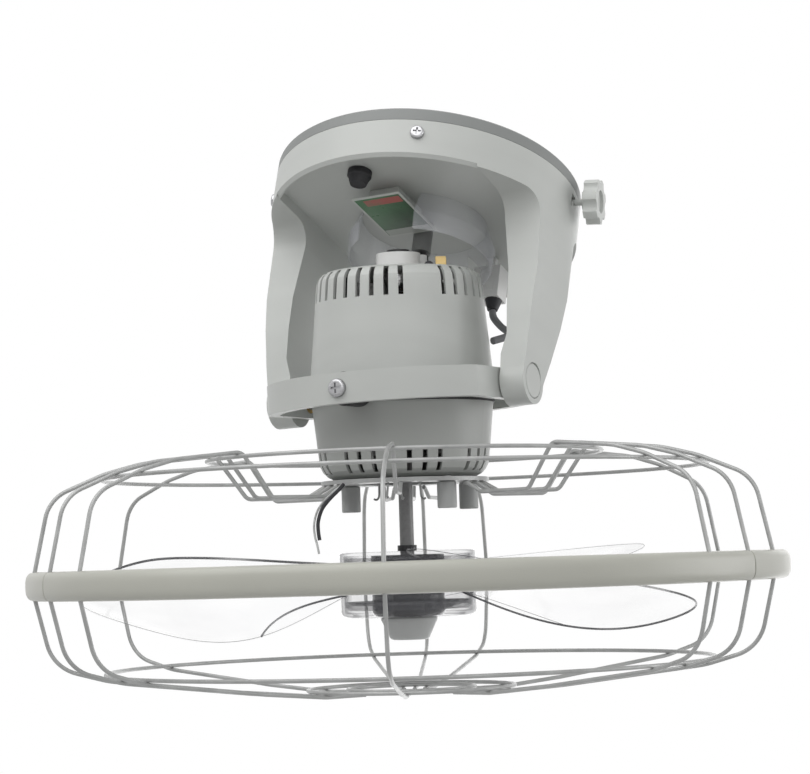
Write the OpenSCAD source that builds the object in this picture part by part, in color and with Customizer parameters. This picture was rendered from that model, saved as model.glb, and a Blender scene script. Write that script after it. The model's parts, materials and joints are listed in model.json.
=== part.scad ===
// Orbital ceiling fan: a base with two arms, a gimbal ring, and a motor head with a
// three-blade rotor in a sparse wire guard. A geared crank on the motor's tail bears
// on a post in the base and swings the head round a cone.
// Origin: the middle of the ceiling plate's top. +Z is up, and the fan hangs below it.
// The arm pins lie along X. The head is drawn leaning, as it stands in the photograph.

/* [Attitude] */
// Height of the gimbal centre below the ceiling
gimbal_drop = 144; // [142:1:150]
// Lean of the ring about the arm pins
ring_lean = 22.5; // [21.5:0.1:22.6]
// Lean of the head about the ring's screws
head_lean = 2; // [0:0.1:3]

/* [Base] */
// Radius of the ceiling plate and of the housing wall
base_r = 95.5; // [94:0.5:97]
// Thickness of the ceiling plate's sheet
plate_t = 2; // [1.5:0.1:2.5]
// Depth of the ceiling plate's rim
plate_rim_h = 8.4; // [7:0.1:9]
// Radius of the cable entry in the plate
cable_entry_r = 12; // [8:0.5:16]
// Diameter of the circle of ceiling screws
ceiling_pcd = 120; // [110:1:130]
// Radius of each ceiling screw hole
ceiling_hole_r = 3; // [2:0.25:4]
// Depth of the housing wall's lower edge
wall_low = 33; // [31:0.5:35]
// Thickness of the housing wall
wall_t = 4; // [3.5:0.1:4.5]
// Depth of the bowl's roof below the ceiling, at its top side
roof_top = 23.5; // [23:0.1:24]
// Thickness of the bowl's roof
roof_t = 3; // [2.5:0.1:3.5]

/* [Arms] */
// Inner face of each arm, measured from the axis
arm_in = 75; // [74:0.5:76]
// Inner face of an arm's root in the bowl
arm_root_in = 68; // [66:0.5:70]
// Half width of an arm below its shoulder
arm_half_w = 24.5; // [22:0.5:26]
// Radius of the round end that holds the pin
arm_end_r = 14; // [13:0.25:15]
// Inner face of the round end
arm_end_in = 71.5; // [71.2:0.1:72.5]
// Outer face of the round end
arm_end_out = 87; // [86:0.5:89]
// Fillet between the wall's edge and an arm
shoulder_r = 14; // [10:1:20]

/* [Pivots] */
// Radius of the arm pins and of the ring's pivot screws
pin_r = 4; // [3.5:0.1:4.5]
// Wall of the bushes in the ring
bush_wall = 2; // [1.5:0.1:2.2]
// Radius of the caps over the arm pins
cap_r = 10.5; // [9:0.5:11.5]
// Radius of the pivot screws' heads
screw_head_r = 5.4; // [5:0.1:6]

/* [Gimbal ring] */
// Outer radius of the ring
ring_r = 81.5; // [80.5:0.5:82.5]
// Wall of the ring
ring_wall = 7; // [6.5:0.1:7.5]
// Height of the ring
ring_h = 18; // [16:0.5:19]
// Half distance between the flats that face the arms
ring_flat = 70.5; // [70:0.1:70.8]

/* [Motor head] */
// Radius of the covers beside the gimbal
cover_r = 55.5; // [55:0.1:56]
// Radius of the upper cover below its shoulder
cover_top_r = 50.3; // [50:0.1:50.5]
// Height of the upper cover's top above the gimbal centre
cover_top_z = 74.5; // [74.4:0.1:74.8]
// Depth of the lower cover's bottom below the gimbal centre
cover_low_z = 51.5; // [51:0.1:52]
// Wall of both covers
cover_wall = 2; // [1.6:0.1:2.2]
// Positions round the upper cover, of which all but two pairs hold a slot
slot_positions = 36; // [28:4:36]
// Width of a cooling slot
slot_w = 3; // [2.6:0.1:3.6]
// Radius of the stator core
stator_r = 50; // [49.6:0.1:50.2]
// Radius of the stator's bore
stator_bore_r = 28.5; // [28:0.1:29]
// Height of the stator core
stator_h = 38; // [36:0.5:38]
// Radius of the motor shaft
shaft_r = 4.25; // [4:0.05:4.5]
// Radius of the bearings
bearing_r = 8; // [7.5:0.1:8.5]

/* [Gear train] */
// Distance from the motor shaft to the cross shaft
cross_offset = 15; // [15:0.1:15.2]
// Distance of the idler shaft from the motor shaft, along the cross shaft
idler_y = 16; // [15.5:0.1:16.5]
// Height of the cross shaft above the gimbal centre
cross_z = 59; // [58.5:0.1:59.5]
// Teeth on the cross shaft's worm wheel
wheel_teeth = 24; // [24:1:24]
// Teeth on the idler shaft's worm wheel
idler_teeth = 16; // [16:1:16]
// Teeth on the idler pinion
pinion_teeth = 12; // [12:1:12]
// Teeth on the crank gear
crank_teeth = 24; // [24:1:24]
// Height of the crank's ball above the gimbal centre
ball_z = 84; // [83.8:0.1:84.2]
// Radius of the crank's ball
ball_r = 5.5; // [5:0.1:6]
// Radius of the post that the crank bears on
post_r = 6; // [5:0.25:7]

/* [Rotor] */
// Depth of the blade plane's hub top below the gimbal centre
hub_top = 94.8; // [94:0.1:95.5]
// Height of the hub
hub_h = 39; // [36:0.5:40]
// Radius of the hub
hub_r = 41; // [39:0.5:43]
// Gap between the blade tips and the band
tip_gap = 21; // [17:1:29]
// Number of blades
blade_count = 3; // [3:1:4]
// Thickness of a blade
blade_t = 2; // [1.6:0.1:2.4]
// Radius of the spinner's rim
spinner_r = 17; // [15:0.5:18]
// Length of the spinner
spinner_h = 14; // [12:0.5:16]

/* [Guard] */
// Depth of the band's middle below the gimbal centre
band_drop = 109; // [108:0.5:110]
// Outer radius of the band
band_r = 228; // [227:0.5:230]
// Height of the band
band_h = 17; // [16:0.5:19]
// Thickness of the band
band_t = 9; // [8.5:0.1:10]
// Diameter of the guard wires
wire_d = 2.7; // [2.5:0.1:3]
// Radius of the upper guard's shoulder ring
shoulder_ring_r = 119; // [117:1:121]
// Radius of the large ring in each guard half
large_ring_r = 182; // [178:1:186]
// Radius of the lower guard's middle ring
middle_ring_r = 62; // [58:1:66]
// Radius of the lower guard's smallest ring
small_ring_r = 38; // [36:1:42]
// Depth of the lower guard's floor below the band's middle
guard_floor = 70; // [68:0.5:72]
// Angle between the wires of a group of three
group_step = 10.8; // [10:0.2:12]
// Outer radius of the plate that carries the upper guard
guard_plate_r = 50.5; // [49:0.5:51]
// Radius of the nuts under the guard plate
nut_r = 5.8; // [5:0.1:6]

/* [Fits] */
// Gap round a shaft in its bearing
run_gap = 0.03; // [0.02:0.01:0.08]
// Gap between pieces that are seated on each other
seat_gap = 0.2; // [0.1:0.05:0.3]

/* [Hidden] */
$fn = 96;

plastic = [0.74, 0.75, 0.73];
plastic_dark = [0.56, 0.57, 0.56];
cream = [0.80, 0.80, 0.76];
steel = [0.62, 0.63, 0.64];
grey_metal = [0.42, 0.43, 0.43];
wire_grey = [0.55, 0.56, 0.55];
black = [0.08, 0.08, 0.09];
white = [0.93, 0.93, 0.92];
clear = [0.85, 0.87, 0.88, 0.45];
copper = [0.72, 0.40, 0.20];
brass = [0.80, 0.65, 0.30];
amber = [0.85, 0.62, 0.25];

// Angles round the axes
knob_angle = 11;
housing_screw_angles = [-67, -157, 113];
fixing_z = -17.5;
knob_z = -14.5;
fixings = concat([for (a = housing_screw_angles) [a, fixing_z]], [[knob_angle, knob_z]]);
ceiling_hole_angles = [45, 135, 225, 315];
guard_group_angles = [-127.5, -5, 114];
guard_single_angles = [-66, 54, 174];
wire_angles = concat(
    [for (a = guard_group_angles) each [a - group_step, a, a + group_step]],
    guard_single_angles);
nut_angles = [-26, 47, 172];
nut_ring_r = 40.8;
clip_angle = 4.5;
clip_t = 2.4;
clip_h = 9;
clip_pin_r = 1.5;
plain_panel_angle = -46.7;
lower_slot_angle = -49;

// Fittings in the bowl
box_size = [20, 30, 9.8];
box_at = [-3.8, -32.4];
box_turn = -2;
label_size = [33.5, 49, 0.6];
clamp_gap = 5.5;
clamp_x = -9.3;
clamp_r = 7.4;
boot_top_r = 40;
boot_mid_r = 46;
boot_low_r = 45;
boot_mid = 42;
boot_low = 54;
boot_t = 1.2;

// Base
housing_top = plate_rim_h + seat_gap;
roof_low = roof_top + roof_t;
wall_in_r = base_r - wall_t;
tab_t = 2;
tab_r = wall_in_r - seat_gap - tab_t;
tab_w = 10;
tab_low = roof_top - 0.5;
housing_screw_r = 2;
arm_foot_z = -gimbal_drop;
knob_r = 14;
knob_h = 9;
knob_lobes = 7;
knob_stand = 7;

// Gimbal and pins
bush_r = pin_r + run_gap + bush_wall;
ring_in_r = ring_r - ring_wall;
ring_flat_in = ring_flat - ring_wall + 0.5;
pin_in = ring_flat_in - 1.2;
cap_t = 2;
pin_out = arm_end_out - cap_t - seat_gap;
boss_r = 10;
boss_in = cover_r + 0.5;
boss_neck_r = 6;
boss_out = ring_in_r - 0.8;
screw_head_h = 3;
slot_cut = 1.1;

// Motor
frame_top = 8;
frame_low = 6.5;
shoulder_arc = 9;
low_arc = 12;
lower_cover_r = cover_r - 0.7;
lower_waist_r = cover_r - 3.2;
waist_z = -31;
slot_low = 55.5;
slot_high = cover_top_z - 1.5;
stator_mid = 1;
stator_top = stator_mid + stator_h / 2;
stator_bottom = stator_mid - stator_h / 2;
winding_in = 31;
winding_out = 42;
winding_h = 12;
bracket_out = stator_r - 0.8;
bracket_skirt_t = 5.5;
skirt_h = 14;
bracket_t = 3;
bearing_h = 8;
upper_seat_z = stator_top + skirt_h;
lower_seat_z = stator_bottom - skirt_h;
bolt_ring_r = 46.5;
bolt_r = 1.6;
cover_mouth_r = 9;

// Gears. The wheel's pitch circle and the worm's share the distance between the shafts
cross_r = 2;
worm_mean_r = 3.4;
worm_wave = 0.7;
worm_clear = 0.35;
mesh_depth = 0.6;
wheel_tip_r = cross_offset - worm_mean_r - worm_wave + mesh_depth;
wheel_w = 3;
drive_starts = 2;
reduction_starts = 2;
wheel_pitch = 2 * PI * (cross_offset - worm_mean_r) / wheel_teeth;
drive_lead = drive_starts * wheel_pitch;
drive_worm_h = 14;
idler_reach = 9;
idler_pitch = 2 * PI * idler_reach / idler_teeth;
reduction_lead = reduction_starts * idler_pitch;
reduction_h = 14;
idler_x = cross_offset - idler_reach - worm_mean_r;
idler_tip_r = idler_reach - worm_wave + mesh_depth;
idler_r = 2;
idler_dist = norm([idler_x, idler_y]);
idler_angle = atan2(idler_y, idler_x);
gear_module = 2 * idler_dist / (pinion_teeth + crank_teeth);
pinion_pitch_r = gear_module * pinion_teeth / 2;
crank_pitch_r = gear_module * crank_teeth / 2;
crank_shaft_r = 2.5;
addendum = 0.7 * gear_module;
case_wall = 1.4;
case_gap = 0.6;
case_r = crank_pitch_r + addendum + case_gap + case_wall;
case_ear_r = pinion_pitch_r + addendum + case_gap + case_wall;
spur_z = 79.6;
spur_h = 3;
gear_plate_z = 44.5;
gear_plate_t = 2;
gear_plate_r = 38;
pillar_ring_r = 33;
pillar_r = 3;
case_top = 85.4;
cross_post_w = 6;
post_in_y = 5;

// Crank: the ball stands on the base's own axis
cone = acos(cos(ring_lean) * cos(head_lean));
crank_r = ball_z * tan(cone);
crank_angle = atan2(sin(ring_lean), -cos(ring_lean) * sin(head_lean));
arm_z = case_top + 0.5;
crank_t = 1.6;
crank_end_r = 5.5;
sweep_r = max(norm([crank_r + crank_end_r, arm_z + crank_t]), norm([crank_r, ball_z]) + ball_r);
post_gap = 0.3;

// Rotor
band_in_r = band_r - band_t;
blade_r = band_in_r - tip_gap;
collar_r = 5.8;
collar_h = 3.4;
hub_wall = 2;
hub_boss_r = 8;
hub_sleeve_r = 22;
hub_edge = 4;
hub_low = hub_top + hub_h;
blade_root_r = hub_r - hub_wall / 2;
blade_drop = hub_top + 16.2;
blade_angle = -30;
blade_rows = 9;
blade_cols = 8;

// Guard outlines: distance from the axis, height above the band's middle, bend radius
wire_r = wire_d / 2;
rim_r = band_r - 4;
weld = 0.2;
guard_plate_t = 2.5;
plate_level = band_drop - cover_low_z - seat_gap - guard_plate_t - wire_r + weld;
trough_level = plate_level - 6;
shoulder_level = 74;
large_level = 64.3;
wire_bite = 2;
upper_wire_line = [
    [guard_plate_r - 3, plate_level, 0], [guard_plate_r - 0.5, plate_level, 5],
    [guard_plate_r + 10, trough_level, 5], [shoulder_ring_r - 22, trough_level, 5],
    [shoulder_ring_r - 3, shoulder_level, 7], [large_ring_r - 22, large_level + 5.7, 60],
    [large_ring_r, large_level, 60], [rim_r - 9.7, 50.7, 22], [rim_r, band_h / 2 - wire_bite, 0]];
lower_wire_line = [
    [rim_r, wire_bite - band_h / 2, 0], [rim_r - 10, -47.2, 24], [large_ring_r, -56.3, 60],
    [middle_ring_r + 42, 4 - guard_floor, 60],
    [middle_ring_r, -guard_floor, 40], [small_ring_r - 4, -guard_floor, 0]];

// Leads: points chosen by hand along each one's way
lead_d = 4.6;
connector_at = [23, 52, -46];
connector_size = [19, 13, 22];
relief_h = 7;
relief_top = [connector_at[0] + 4, connector_at[1], connector_at[2] - connector_size[2] / 2];
lead_line = [
    [27, 52, -64.3], [28.5, 52.5, -69.5], [35, 51.5, -77], [43, 46, -84], [49, 38, -90],
    [50, 29, -97], [46, 21, -103]];
safety_d = 2.2;
safety_line = [
    [-16, -48.5, -54.5], [-16.9, -51.3, -57], [-19, -54, -60], [-22.5, -56, -64], [-26, -57.6, -69],
    [-28, -58.8, -76], [-28, -59, -82], [-27.4, -58.8, -87]];

// ---- Placing ----
module at_ring() {
    translate([0, 0, -gimbal_drop]) rotate([ring_lean, 0, 0]) children();
}

module at_head() {
    at_ring() rotate([0, head_lean, 0]) children();
}

module each_angle(angles) {
    for (a = angles) rotate([0, 0, a]) children();
}

module both_sides() {
    children();
    mirror([1, 0, 0]) children();
}

// A bar along +X from one distance to another
module x_bar(from_x, to_x, r) {
    translate([from_x, 0, 0]) rotate([0, 90, 0]) cylinder(h = to_x - from_x, r = r);
}

// A bar along +Y from one distance to another
module y_bar(from_y, to_y, r) {
    translate([0, from_y, 0]) rotate([-90, 0, 0]) cylinder(h = to_y - from_y, r = r);
}

module tube_ring(z, h, outer, inner) {
    translate([0, 0, z]) difference() {
        cylinder(h = h, r = outer);
        translate([0, 0, -1]) cylinder(h = h + 2, r = inner);
    }
}

// ---- Outlines and swept forms ----
function unit(v) = v / norm(v);

function arc(cx, cy, r, from_a, to_a, n = 6) =
    [for (i = [0:n]) let (a = from_a + (to_a - from_a) * i / n) [cx + r * cos(a), cy + r * sin(a)]];

// One rounded corner q, between p and s
function bend(p, q, s, r, n) =
    let (u = unit(p - q), w = unit(s - q), half = acos(u * w) / 2,
         c = q + unit(u + w) * r / sin(half), start = q + u * r / tan(half) - c,
         finish = q + w * r / tan(half) - c,
         a = atan2(start[1], start[0]),
         turn = (atan2(finish[1], finish[0]) - a + 540) % 360 - 180)
    [for (i = [0:n]) c + r * [cos(a + turn * i / n), sin(a + turn * i / n)]];

// An outline of [distance, height, bend radius] with its corners rounded
function rounded(line, n = 4) =
    let (p = [for (q = line) [q[0], q[1]]], last = len(line) - 1)
    concat([p[0]],
        [for (i = [1:last - 1]) each bend(p[i - 1], p[i], p[i + 1], line[i][2], n)],
        [p[last]]);

function way(pts, i) =
    unit(pts[min(i + 1, len(pts) - 1)] - pts[max(i - 1, 0)]);

// A round bar swept along points, with its first ring square to the side vector
module tube(pts, d, sides = 8, side = [0, 1, 0]) {
    rings = len(pts);
    skin = [for (i = [0:rings - 1])
        let (t = way(pts, i), u = unit(cross(t, side)), v = cross(t, u))
        for (k = [0:sides - 1]) let (a = 360 * k / sides)
            pts[i] + (u * cos(a) + v * sin(a)) * d / 2];
    walls = [for (i = [0:rings - 2], k = [0:sides - 1])
        let (m = (k + 1) % sides, a = i * sides + k, b = i * sides + m)
        each [[a, b, b + sides], [a, b + sides, a + sides]]];
    ends = [for (k = [1:sides - 2]) each [
        [0, k + 1, k], [(rings - 1) * sides, (rings - 1) * sides + k, (rings - 1) * sides + k + 1]]];
    polyhedron(points = skin, faces = concat(walls, ends));
}

module guard_wire(line) {
    tube([for (p = rounded(line)) [p[0], 0, p[1] - band_drop]], wire_d);
}

// A ring of wire welded to the inside of the guard wires that follow a line: side is 1 or -1
module wire_ring(line, r, side) {
    level = lookup(r, [for (p = rounded(line)) p]);
    translate([0, 0, level - band_drop + side * (wire_d - weld)])
        rotate_extrude() translate([r, 0]) circle(r = wire_r, $fn = 24);
}

// ---- Base ----
module ceiling_plate() color(grey_metal) {
    difference() {
        union() {
            rotate_extrude() polygon([
                [cable_entry_r, 0], [base_r - 1.5, 0], [base_r, -1.5], [base_r, -plate_rim_h],
                [base_r - 2, -plate_rim_h], [base_r - 2, -plate_t], [cable_entry_r, -plate_t]]);
            for (q = fixings) rotate([0, 0, q[0]]) translate([tab_r, -tab_w / 2, -tab_low])
                cube([tab_t, tab_w, tab_low - plate_t / 2]);
        }
        each_angle(ceiling_hole_angles) translate([ceiling_pcd / 2, 0, -plate_t - 1])
            cylinder(h = plate_t + 2, r = ceiling_hole_r);
        for (q = fixings) rotate([0, 0, q[0]]) translate([0, 0, q[1]])
            x_bar(tab_r - 1, base_r, housing_screw_r + run_gap);
    }
}

// Side view of an arm and its shoulder, half of it, from the wall's edge to the pin
function arm_side() = concat(
    [[0, -housing_top - 1], [base_r + 1, -housing_top - 1], [base_r + 1, -wall_low]],
    arc(arm_half_w + shoulder_r, -wall_low - shoulder_r, shoulder_r, 90, 180, 8),
    [[arm_half_w - 3.5, -gimbal_drop * 0.7]],
    arc(0, arm_foot_z, arm_end_r, 10, -90, 8));

module arm_width() {
    rotate([90, 0, 90]) linear_extrude(height = base_r + 5) {
        polygon(arm_side());
        mirror([1, 0]) polygon(arm_side());
    }
}

// Front view of an arm: its thickness from the bowl's roof down to the pin
module arm_thickness() {
    rotate([90, 0, 0]) translate([0, 0, -base_r]) linear_extrude(height = 2 * base_r)
        polygon([
            [arm_root_in, -roof_low + 1], [base_r + 2, -roof_low + 1], [base_r - 1, -60],
            [base_r - 4, -96], [arm_end_out + 2, arm_foot_z + 20], [arm_end_out, arm_foot_z + 4],
            [arm_end_out, arm_foot_z - 20], [arm_end_in, arm_foot_z - 20],
            [arm_end_in, arm_foot_z + 12], [arm_in, arm_foot_z + 24],
            [arm_in - 1, -80], [arm_root_in + 1, -46]]);
}

module base_housing() color(plastic) {
    difference() {
        union() {
            rotate_extrude() polygon([
                [wall_in_r, -housing_top], [base_r, -housing_top], [base_r, -wall_low + 2],
                [base_r - 2, -wall_low], [wall_in_r + 1, -wall_low],
                [wall_in_r - 1, -roof_low - 1], [wall_in_r - 4, -roof_low],
                [0, -roof_low], [0, -roof_top], [wall_in_r, -roof_top]]);
            both_sides() intersection() {
                arm_thickness();
                arm_width();
                translate([0, 0, arm_foot_z - 20]) cylinder(h = gimbal_drop, r = base_r);
            }
        }
        both_sides() translate([0, 0, arm_foot_z]) {
            x_bar(arm_end_in - 1, arm_end_out, pin_r + run_gap);
            x_bar(arm_end_out - cap_t - 0.1, arm_end_out + 1, cap_r + seat_gap);
        }
        for (q = fixings) rotate([0, 0, q[0]]) translate([0, 0, q[1]])
            x_bar(wall_in_r - 1, base_r + 1, housing_screw_r + seat_gap);
        rotate([0, 0, knob_angle]) translate([wall_in_r - 1, 0, knob_z]) {
            translate([0, -7, -housing_screw_r]) cube([wall_t + 2, 7, 2 * housing_screw_r]);
            translate([0, -8.5, -6]) cube([wall_t + 2, 3, 8]);
        }
        translate([0, 0, -roof_low - 1]) cylinder(h = roof_t + 2, r = post_r - 2 + run_gap);
    }
}

// A pan head with a cross cut in it, facing +X
module cross_head(x, r, h) {
    difference() {
        translate([x, 0, 0]) rotate([0, 90, 0]) rotate_extrude() polygon(concat(
            [[0, 0], [r, 0], [r, h * 0.4]], arc(r - h * 0.6, h * 0.4, h * 0.6, 30, 90, 3), [[0, h]]));
        translate([x + h * 0.45, -slot_cut / 2, -r * 0.55]) cube([h, slot_cut, r * 1.1]);
        translate([x + h * 0.45, -r * 0.55, -slot_cut / 2]) cube([h, r * 1.1, slot_cut]);
    }
}

module housing_screws() color(steel) each_angle(housing_screw_angles) translate([0, 0, fixing_z]) {
    x_bar(tab_r, base_r + 0.1, housing_screw_r);
    cross_head(base_r + 0.1, housing_screw_r * 2.1, 2.6);
}

module terminal_box() color(plastic) translate([box_at[0], box_at[1], -roof_low - seat_gap - box_size[2]])
    rotate([0, 0, box_turn]) translate([-box_size[0] / 2, -box_size[1] / 2, 0]) difference() {
        cube(box_size);
        translate([1.5, 1.5, 1.5]) cube([box_size[0] - 3, box_size[1] - 3, box_size[2]]);
    }

module rating_label() color([0.1, 0.35, 0.16])
    translate([box_at[0], box_at[1], -roof_low - seat_gap - box_size[2] - label_size[2] / 2])
        rotate([0, 0, box_turn]) cube(label_size, center = true);

// A clear bell round the post, open where the terminal box and the connector stand
module dust_boot() color(clear) difference() {
    rotate_extrude() polygon([
        [boot_top_r, -roof_low - seat_gap], [boot_mid_r, -boot_mid], [boot_low_r, -boot_low],
        [boot_low_r - boot_t, -boot_low], [boot_mid_r - boot_t, -boot_mid],
        [boot_top_r - boot_t, -roof_low - seat_gap]]);
    translate([box_at[0] - label_size[0] / 2 - 3, -base_r, -base_r])
        cube([label_size[0] + 6, base_r + box_at[1] + label_size[1] / 2 + 2, base_r]);
    translate([connector_at[0], connector_at[1], -boot_low])
        cube([connector_size[0] + 4, connector_size[1] + 14, 2 * boot_low + 2], center = true);
}

module cable_clamp() color(black)
    translate([clamp_x, box_at[1] - label_size[1] / 2 - clamp_gap - clamp_r, -roof_low - seat_gap])
        mirror([0, 0, 1]) rotate_extrude() polygon(concat(
            [[0, 0], [clamp_r, 0]], arc(clamp_r - 1.5, 3, 1.5, 0, 60, 3), [[clamp_r - 2.4, 9], [0, 9]]));

module lead_connector() color(white) {
    translate(connector_at) difference() {
        cube(connector_size, center = true);
        translate([0, -connector_size[1] / 2, 0]) cube([11, 1, 13], center = true);
    }
    stem_low = connector_at[2] + connector_size[2] / 2;
    translate([connector_at[0], connector_at[1], (stem_low - roof_low) / 2])
        cube([6, 4, -stem_low - roof_low - 2 * seat_gap], center = true);
}

// The post's foot is hollowed to the sphere that the crank sweeps about the gimbal centre
module orbit_post() color(plastic_dark) difference() {
    union() {
        translate([0, 0, -roof_top]) mirror([0, 0, 1]) cylinder(h = roof_t + 1, r = post_r - 2);
        translate([0, 0, -roof_top]) cylinder(h = 1.5, r = post_r);
        translate([0, 0, -gimbal_drop + sweep_r - 2])
            cylinder(h = gimbal_drop - sweep_r + 2 - roof_low - seat_gap, r = post_r);
    }
    translate([0, 0, -gimbal_drop]) sphere(r = sweep_r + post_gap);
}

module pivot_pins() color(steel) translate([0, 0, arm_foot_z]) both_sides() x_bar(pin_in, pin_out, pin_r);

module pivot_caps() color(plastic) translate([0, 0, arm_foot_z]) both_sides()
    translate([arm_end_out - cap_t + 0.1, 0, 0]) rotate([0, 90, 0]) rotate_extrude() polygon(concat(
        [[0, 0], [cap_r, 0]], arc(cap_r - 1, cap_t - 0.8, 1, 0, 90, 3), [[0, cap_t + 0.2]]));

module lock_knob() color(plastic) rotate([0, 0, knob_angle]) translate([0, 0, knob_z]) {
    x_bar(tab_r, base_r + knob_stand + 1, housing_screw_r);
    translate([base_r + knob_stand, 0, 0]) rotate([0, 90, 0]) difference() {
        union() {
            translate([0, 0, -2]) cylinder(h = 3, r = 6);
            cylinder(h = knob_h, r = knob_r);
        }
        for (i = [0:knob_lobes - 1]) rotate([0, 0, 360 * i / knob_lobes])
            translate([knob_r + 1.6, 0, -1]) cylinder(h = knob_h + 2, r = 4.2, $fn = 32);
        translate([0, 0, knob_h - 2]) cylinder(h = 3, r = 7);
    }
}

// ---- Gimbal ring ----
module gimbal_ring() color(plastic) at_ring() difference() {
    intersection() {
        translate([0, 0, -ring_h / 2]) cylinder(h = ring_h, r = ring_r);
        cube([2 * ring_flat, 3 * ring_r, 2 * ring_h], center = true);
    }
    intersection() {
        translate([0, 0, -ring_h]) cylinder(h = 2 * ring_h, r = ring_in_r);
        cube([2 * ring_flat_in, 3 * ring_r, 3 * ring_h], center = true);
    }
    both_sides() x_bar(ring_flat_in - 5, ring_flat + 1, bush_r + seat_gap / 4);
    y_bar(-ring_r - 1, ring_r + 1, pin_r + run_gap);
}

module ring_bushes() color(brass) at_ring() both_sides() difference() {
    union() {
        x_bar(ring_flat_in, ring_flat, bush_r);
        x_bar(ring_flat + 0.05, arm_end_in - 0.1, bush_r + 2.5);
        x_bar(ring_flat - 0.1, ring_flat + 0.2, bush_r);
    }
    x_bar(ring_flat_in - 1, arm_end_in + 1, pin_r + run_gap);
}

module pivot_screws() color(steel) at_ring() for (turn = [90, -90]) rotate([0, 0, turn]) {
    x_bar(boss_in + 1, ring_r + 0.1, pin_r);
    cross_head(ring_r + 0.1, screw_head_r, screw_head_h);
}

// ---- Motor ----
module motor_frame() color(grey_metal) at_head() difference() {
    union() {
        tube_ring(-frame_low, frame_top + frame_low, cover_r, stator_r + run_gap);
        each_angle([0, 180]) {
            y_bar(cover_r - 1, boss_in + 1, boss_neck_r);
            y_bar(boss_in, boss_out, boss_r);
        }
    }
    each_angle([0, 180]) y_bar(boss_in, boss_out + 1, pin_r + run_gap);
}

module bolt_holes(z, h) {
    for (a = [45:90:315]) rotate([0, 0, a]) translate([bolt_ring_r, 0, z])
        cylinder(h = h, r = bolt_r + run_gap, $fn = 24);
}

module stator_core() color(steel) at_head() difference() {
    translate([0, 0, stator_bottom]) cylinder(h = stator_h, r = stator_r);
    translate([0, 0, stator_bottom - 1]) cylinder(h = stator_h + 2, r = stator_bore_r);
    bolt_holes(stator_bottom - 1, stator_h + 2);
}

module stator_windings() color(copper) at_head() {
    for (z = [stator_top + seat_gap, stator_bottom - seat_gap - winding_h])
        translate([0, 0, z]) rotate_extrude() polygon(concat(
            arc(winding_in + 3, 3, 3, 180, 270, 3), arc(winding_out - 3, 3, 3, 270, 360, 3),
            arc(winding_out - 3, winding_h - 3, 3, 0, 90, 3),
            arc(winding_in + 3, winding_h - 3, 3, 90, 180, 3)));
}

// A bearing bracket standing up from z = 0: skirt, plate and hub
module bracket() {
    difference() {
        rotate_extrude() polygon([
            [bracket_out - bracket_skirt_t, 0], [bracket_out, 0], [bracket_out, skirt_h + bracket_t],
            [bearing_r + 4, skirt_h + bracket_t], [bearing_r + 3.5, skirt_h + bracket_t + bearing_h - 2],
            [bearing_r + run_gap, skirt_h + bracket_t + bearing_h - 2], [bearing_r + run_gap, skirt_h],
            [bracket_out - bracket_skirt_t, skirt_h]]);
        bolt_holes(-1, skirt_h + bracket_t + 2);
    }
}

module upper_bracket() color(grey_metal) at_head() translate([0, 0, stator_top]) bracket();

module lower_bracket() color(grey_metal) at_head()
    translate([0, 0, stator_bottom]) mirror([0, 0, 1]) bracket();

module shaft_bearings() color(brass) at_head()
    for (z = [upper_seat_z + 1, lower_seat_z - 1 - bearing_h])
        tube_ring(z, bearing_h, bearing_r, shaft_r + run_gap);

module through_bolts() color(steel) at_head() for (a = [45:90:315])
    rotate([0, 0, a]) translate([bolt_ring_r, 0, lower_seat_z - bracket_t - 2])
        cylinder(h = upper_seat_z - lower_seat_z + 2 * bracket_t + 3, r = bolt_r, $fn = 24);

// Half section of the upper cover, its outside moved in by one wall for the inside
function upper_skin(inset, mouth_r) = concat(
    [[cover_r - inset, frame_top + seat_gap]], [[cover_r - 0.3 - inset, frame_top + 4]],
    arc(cover_top_r - shoulder_arc, cover_top_z - shoulder_arc, shoulder_arc - inset, 0, 90, 5),
    [[mouth_r, cover_top_z - inset]]);

function backwards(list) = [for (i = [len(list) - 1:-1:0]) list[i]];

// Plan of the gear case on the motor's tail: round the crank gear, with an ear for the pinion
module case_plan(grow) {
    circle(r = case_r + grow);
    rotate(idler_angle) translate([idler_dist, 0]) circle(r = case_ear_r + grow);
}

module upper_cover() color(plastic) at_head() difference() {
    rotate_extrude() polygon(concat(upper_skin(0, 0), backwards(upper_skin(cover_wall, 0))));
    translate([0, 0, cover_top_z - cover_wall - 1])
        linear_extrude(height = cover_wall + 2) case_plan(seat_gap);
    for (i = [0:slot_positions - 1]) if (i % (slot_positions / 2) > 1)
        rotate([0, 0, plain_panel_angle + (i - 0.5) * 360 / slot_positions])
            translate([cover_top_r - shoulder_arc + 1, -slot_w / 2, slot_low])
                cube([shoulder_arc + 4, slot_w, slot_high - slot_low]);
}

function lower_skin(inset, mouth_r) = concat(
    [[lower_cover_r - inset, -frame_low - seat_gap], [lower_waist_r - inset, waist_z]],
    arc(lower_waist_r - 1 - low_arc, low_arc - cover_low_z, low_arc - inset, 0, -90, 5),
    [[mouth_r, inset - cover_low_z]]);

module lower_cover() color(plastic) at_head() difference() {
    rotate_extrude() polygon(concat(
        lower_skin(0, cover_mouth_r), backwards(lower_skin(cover_wall, cover_mouth_r))));
    for (g = [0:7], k = [-1:1]) rotate([0, 0, lower_slot_angle + 45 * g + 10.5 * k])
        translate([lower_waist_r - low_arc, -slot_w / 2, waist_z - 17]) cube([low_arc + 4, slot_w, 14]);
    each_angle(nut_angles) translate([nut_ring_r, 0, -cover_low_z - 1])
        cylinder(h = cover_wall + 2, r = nut_r / 2 + run_gap, $fn = 32);
}

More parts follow.
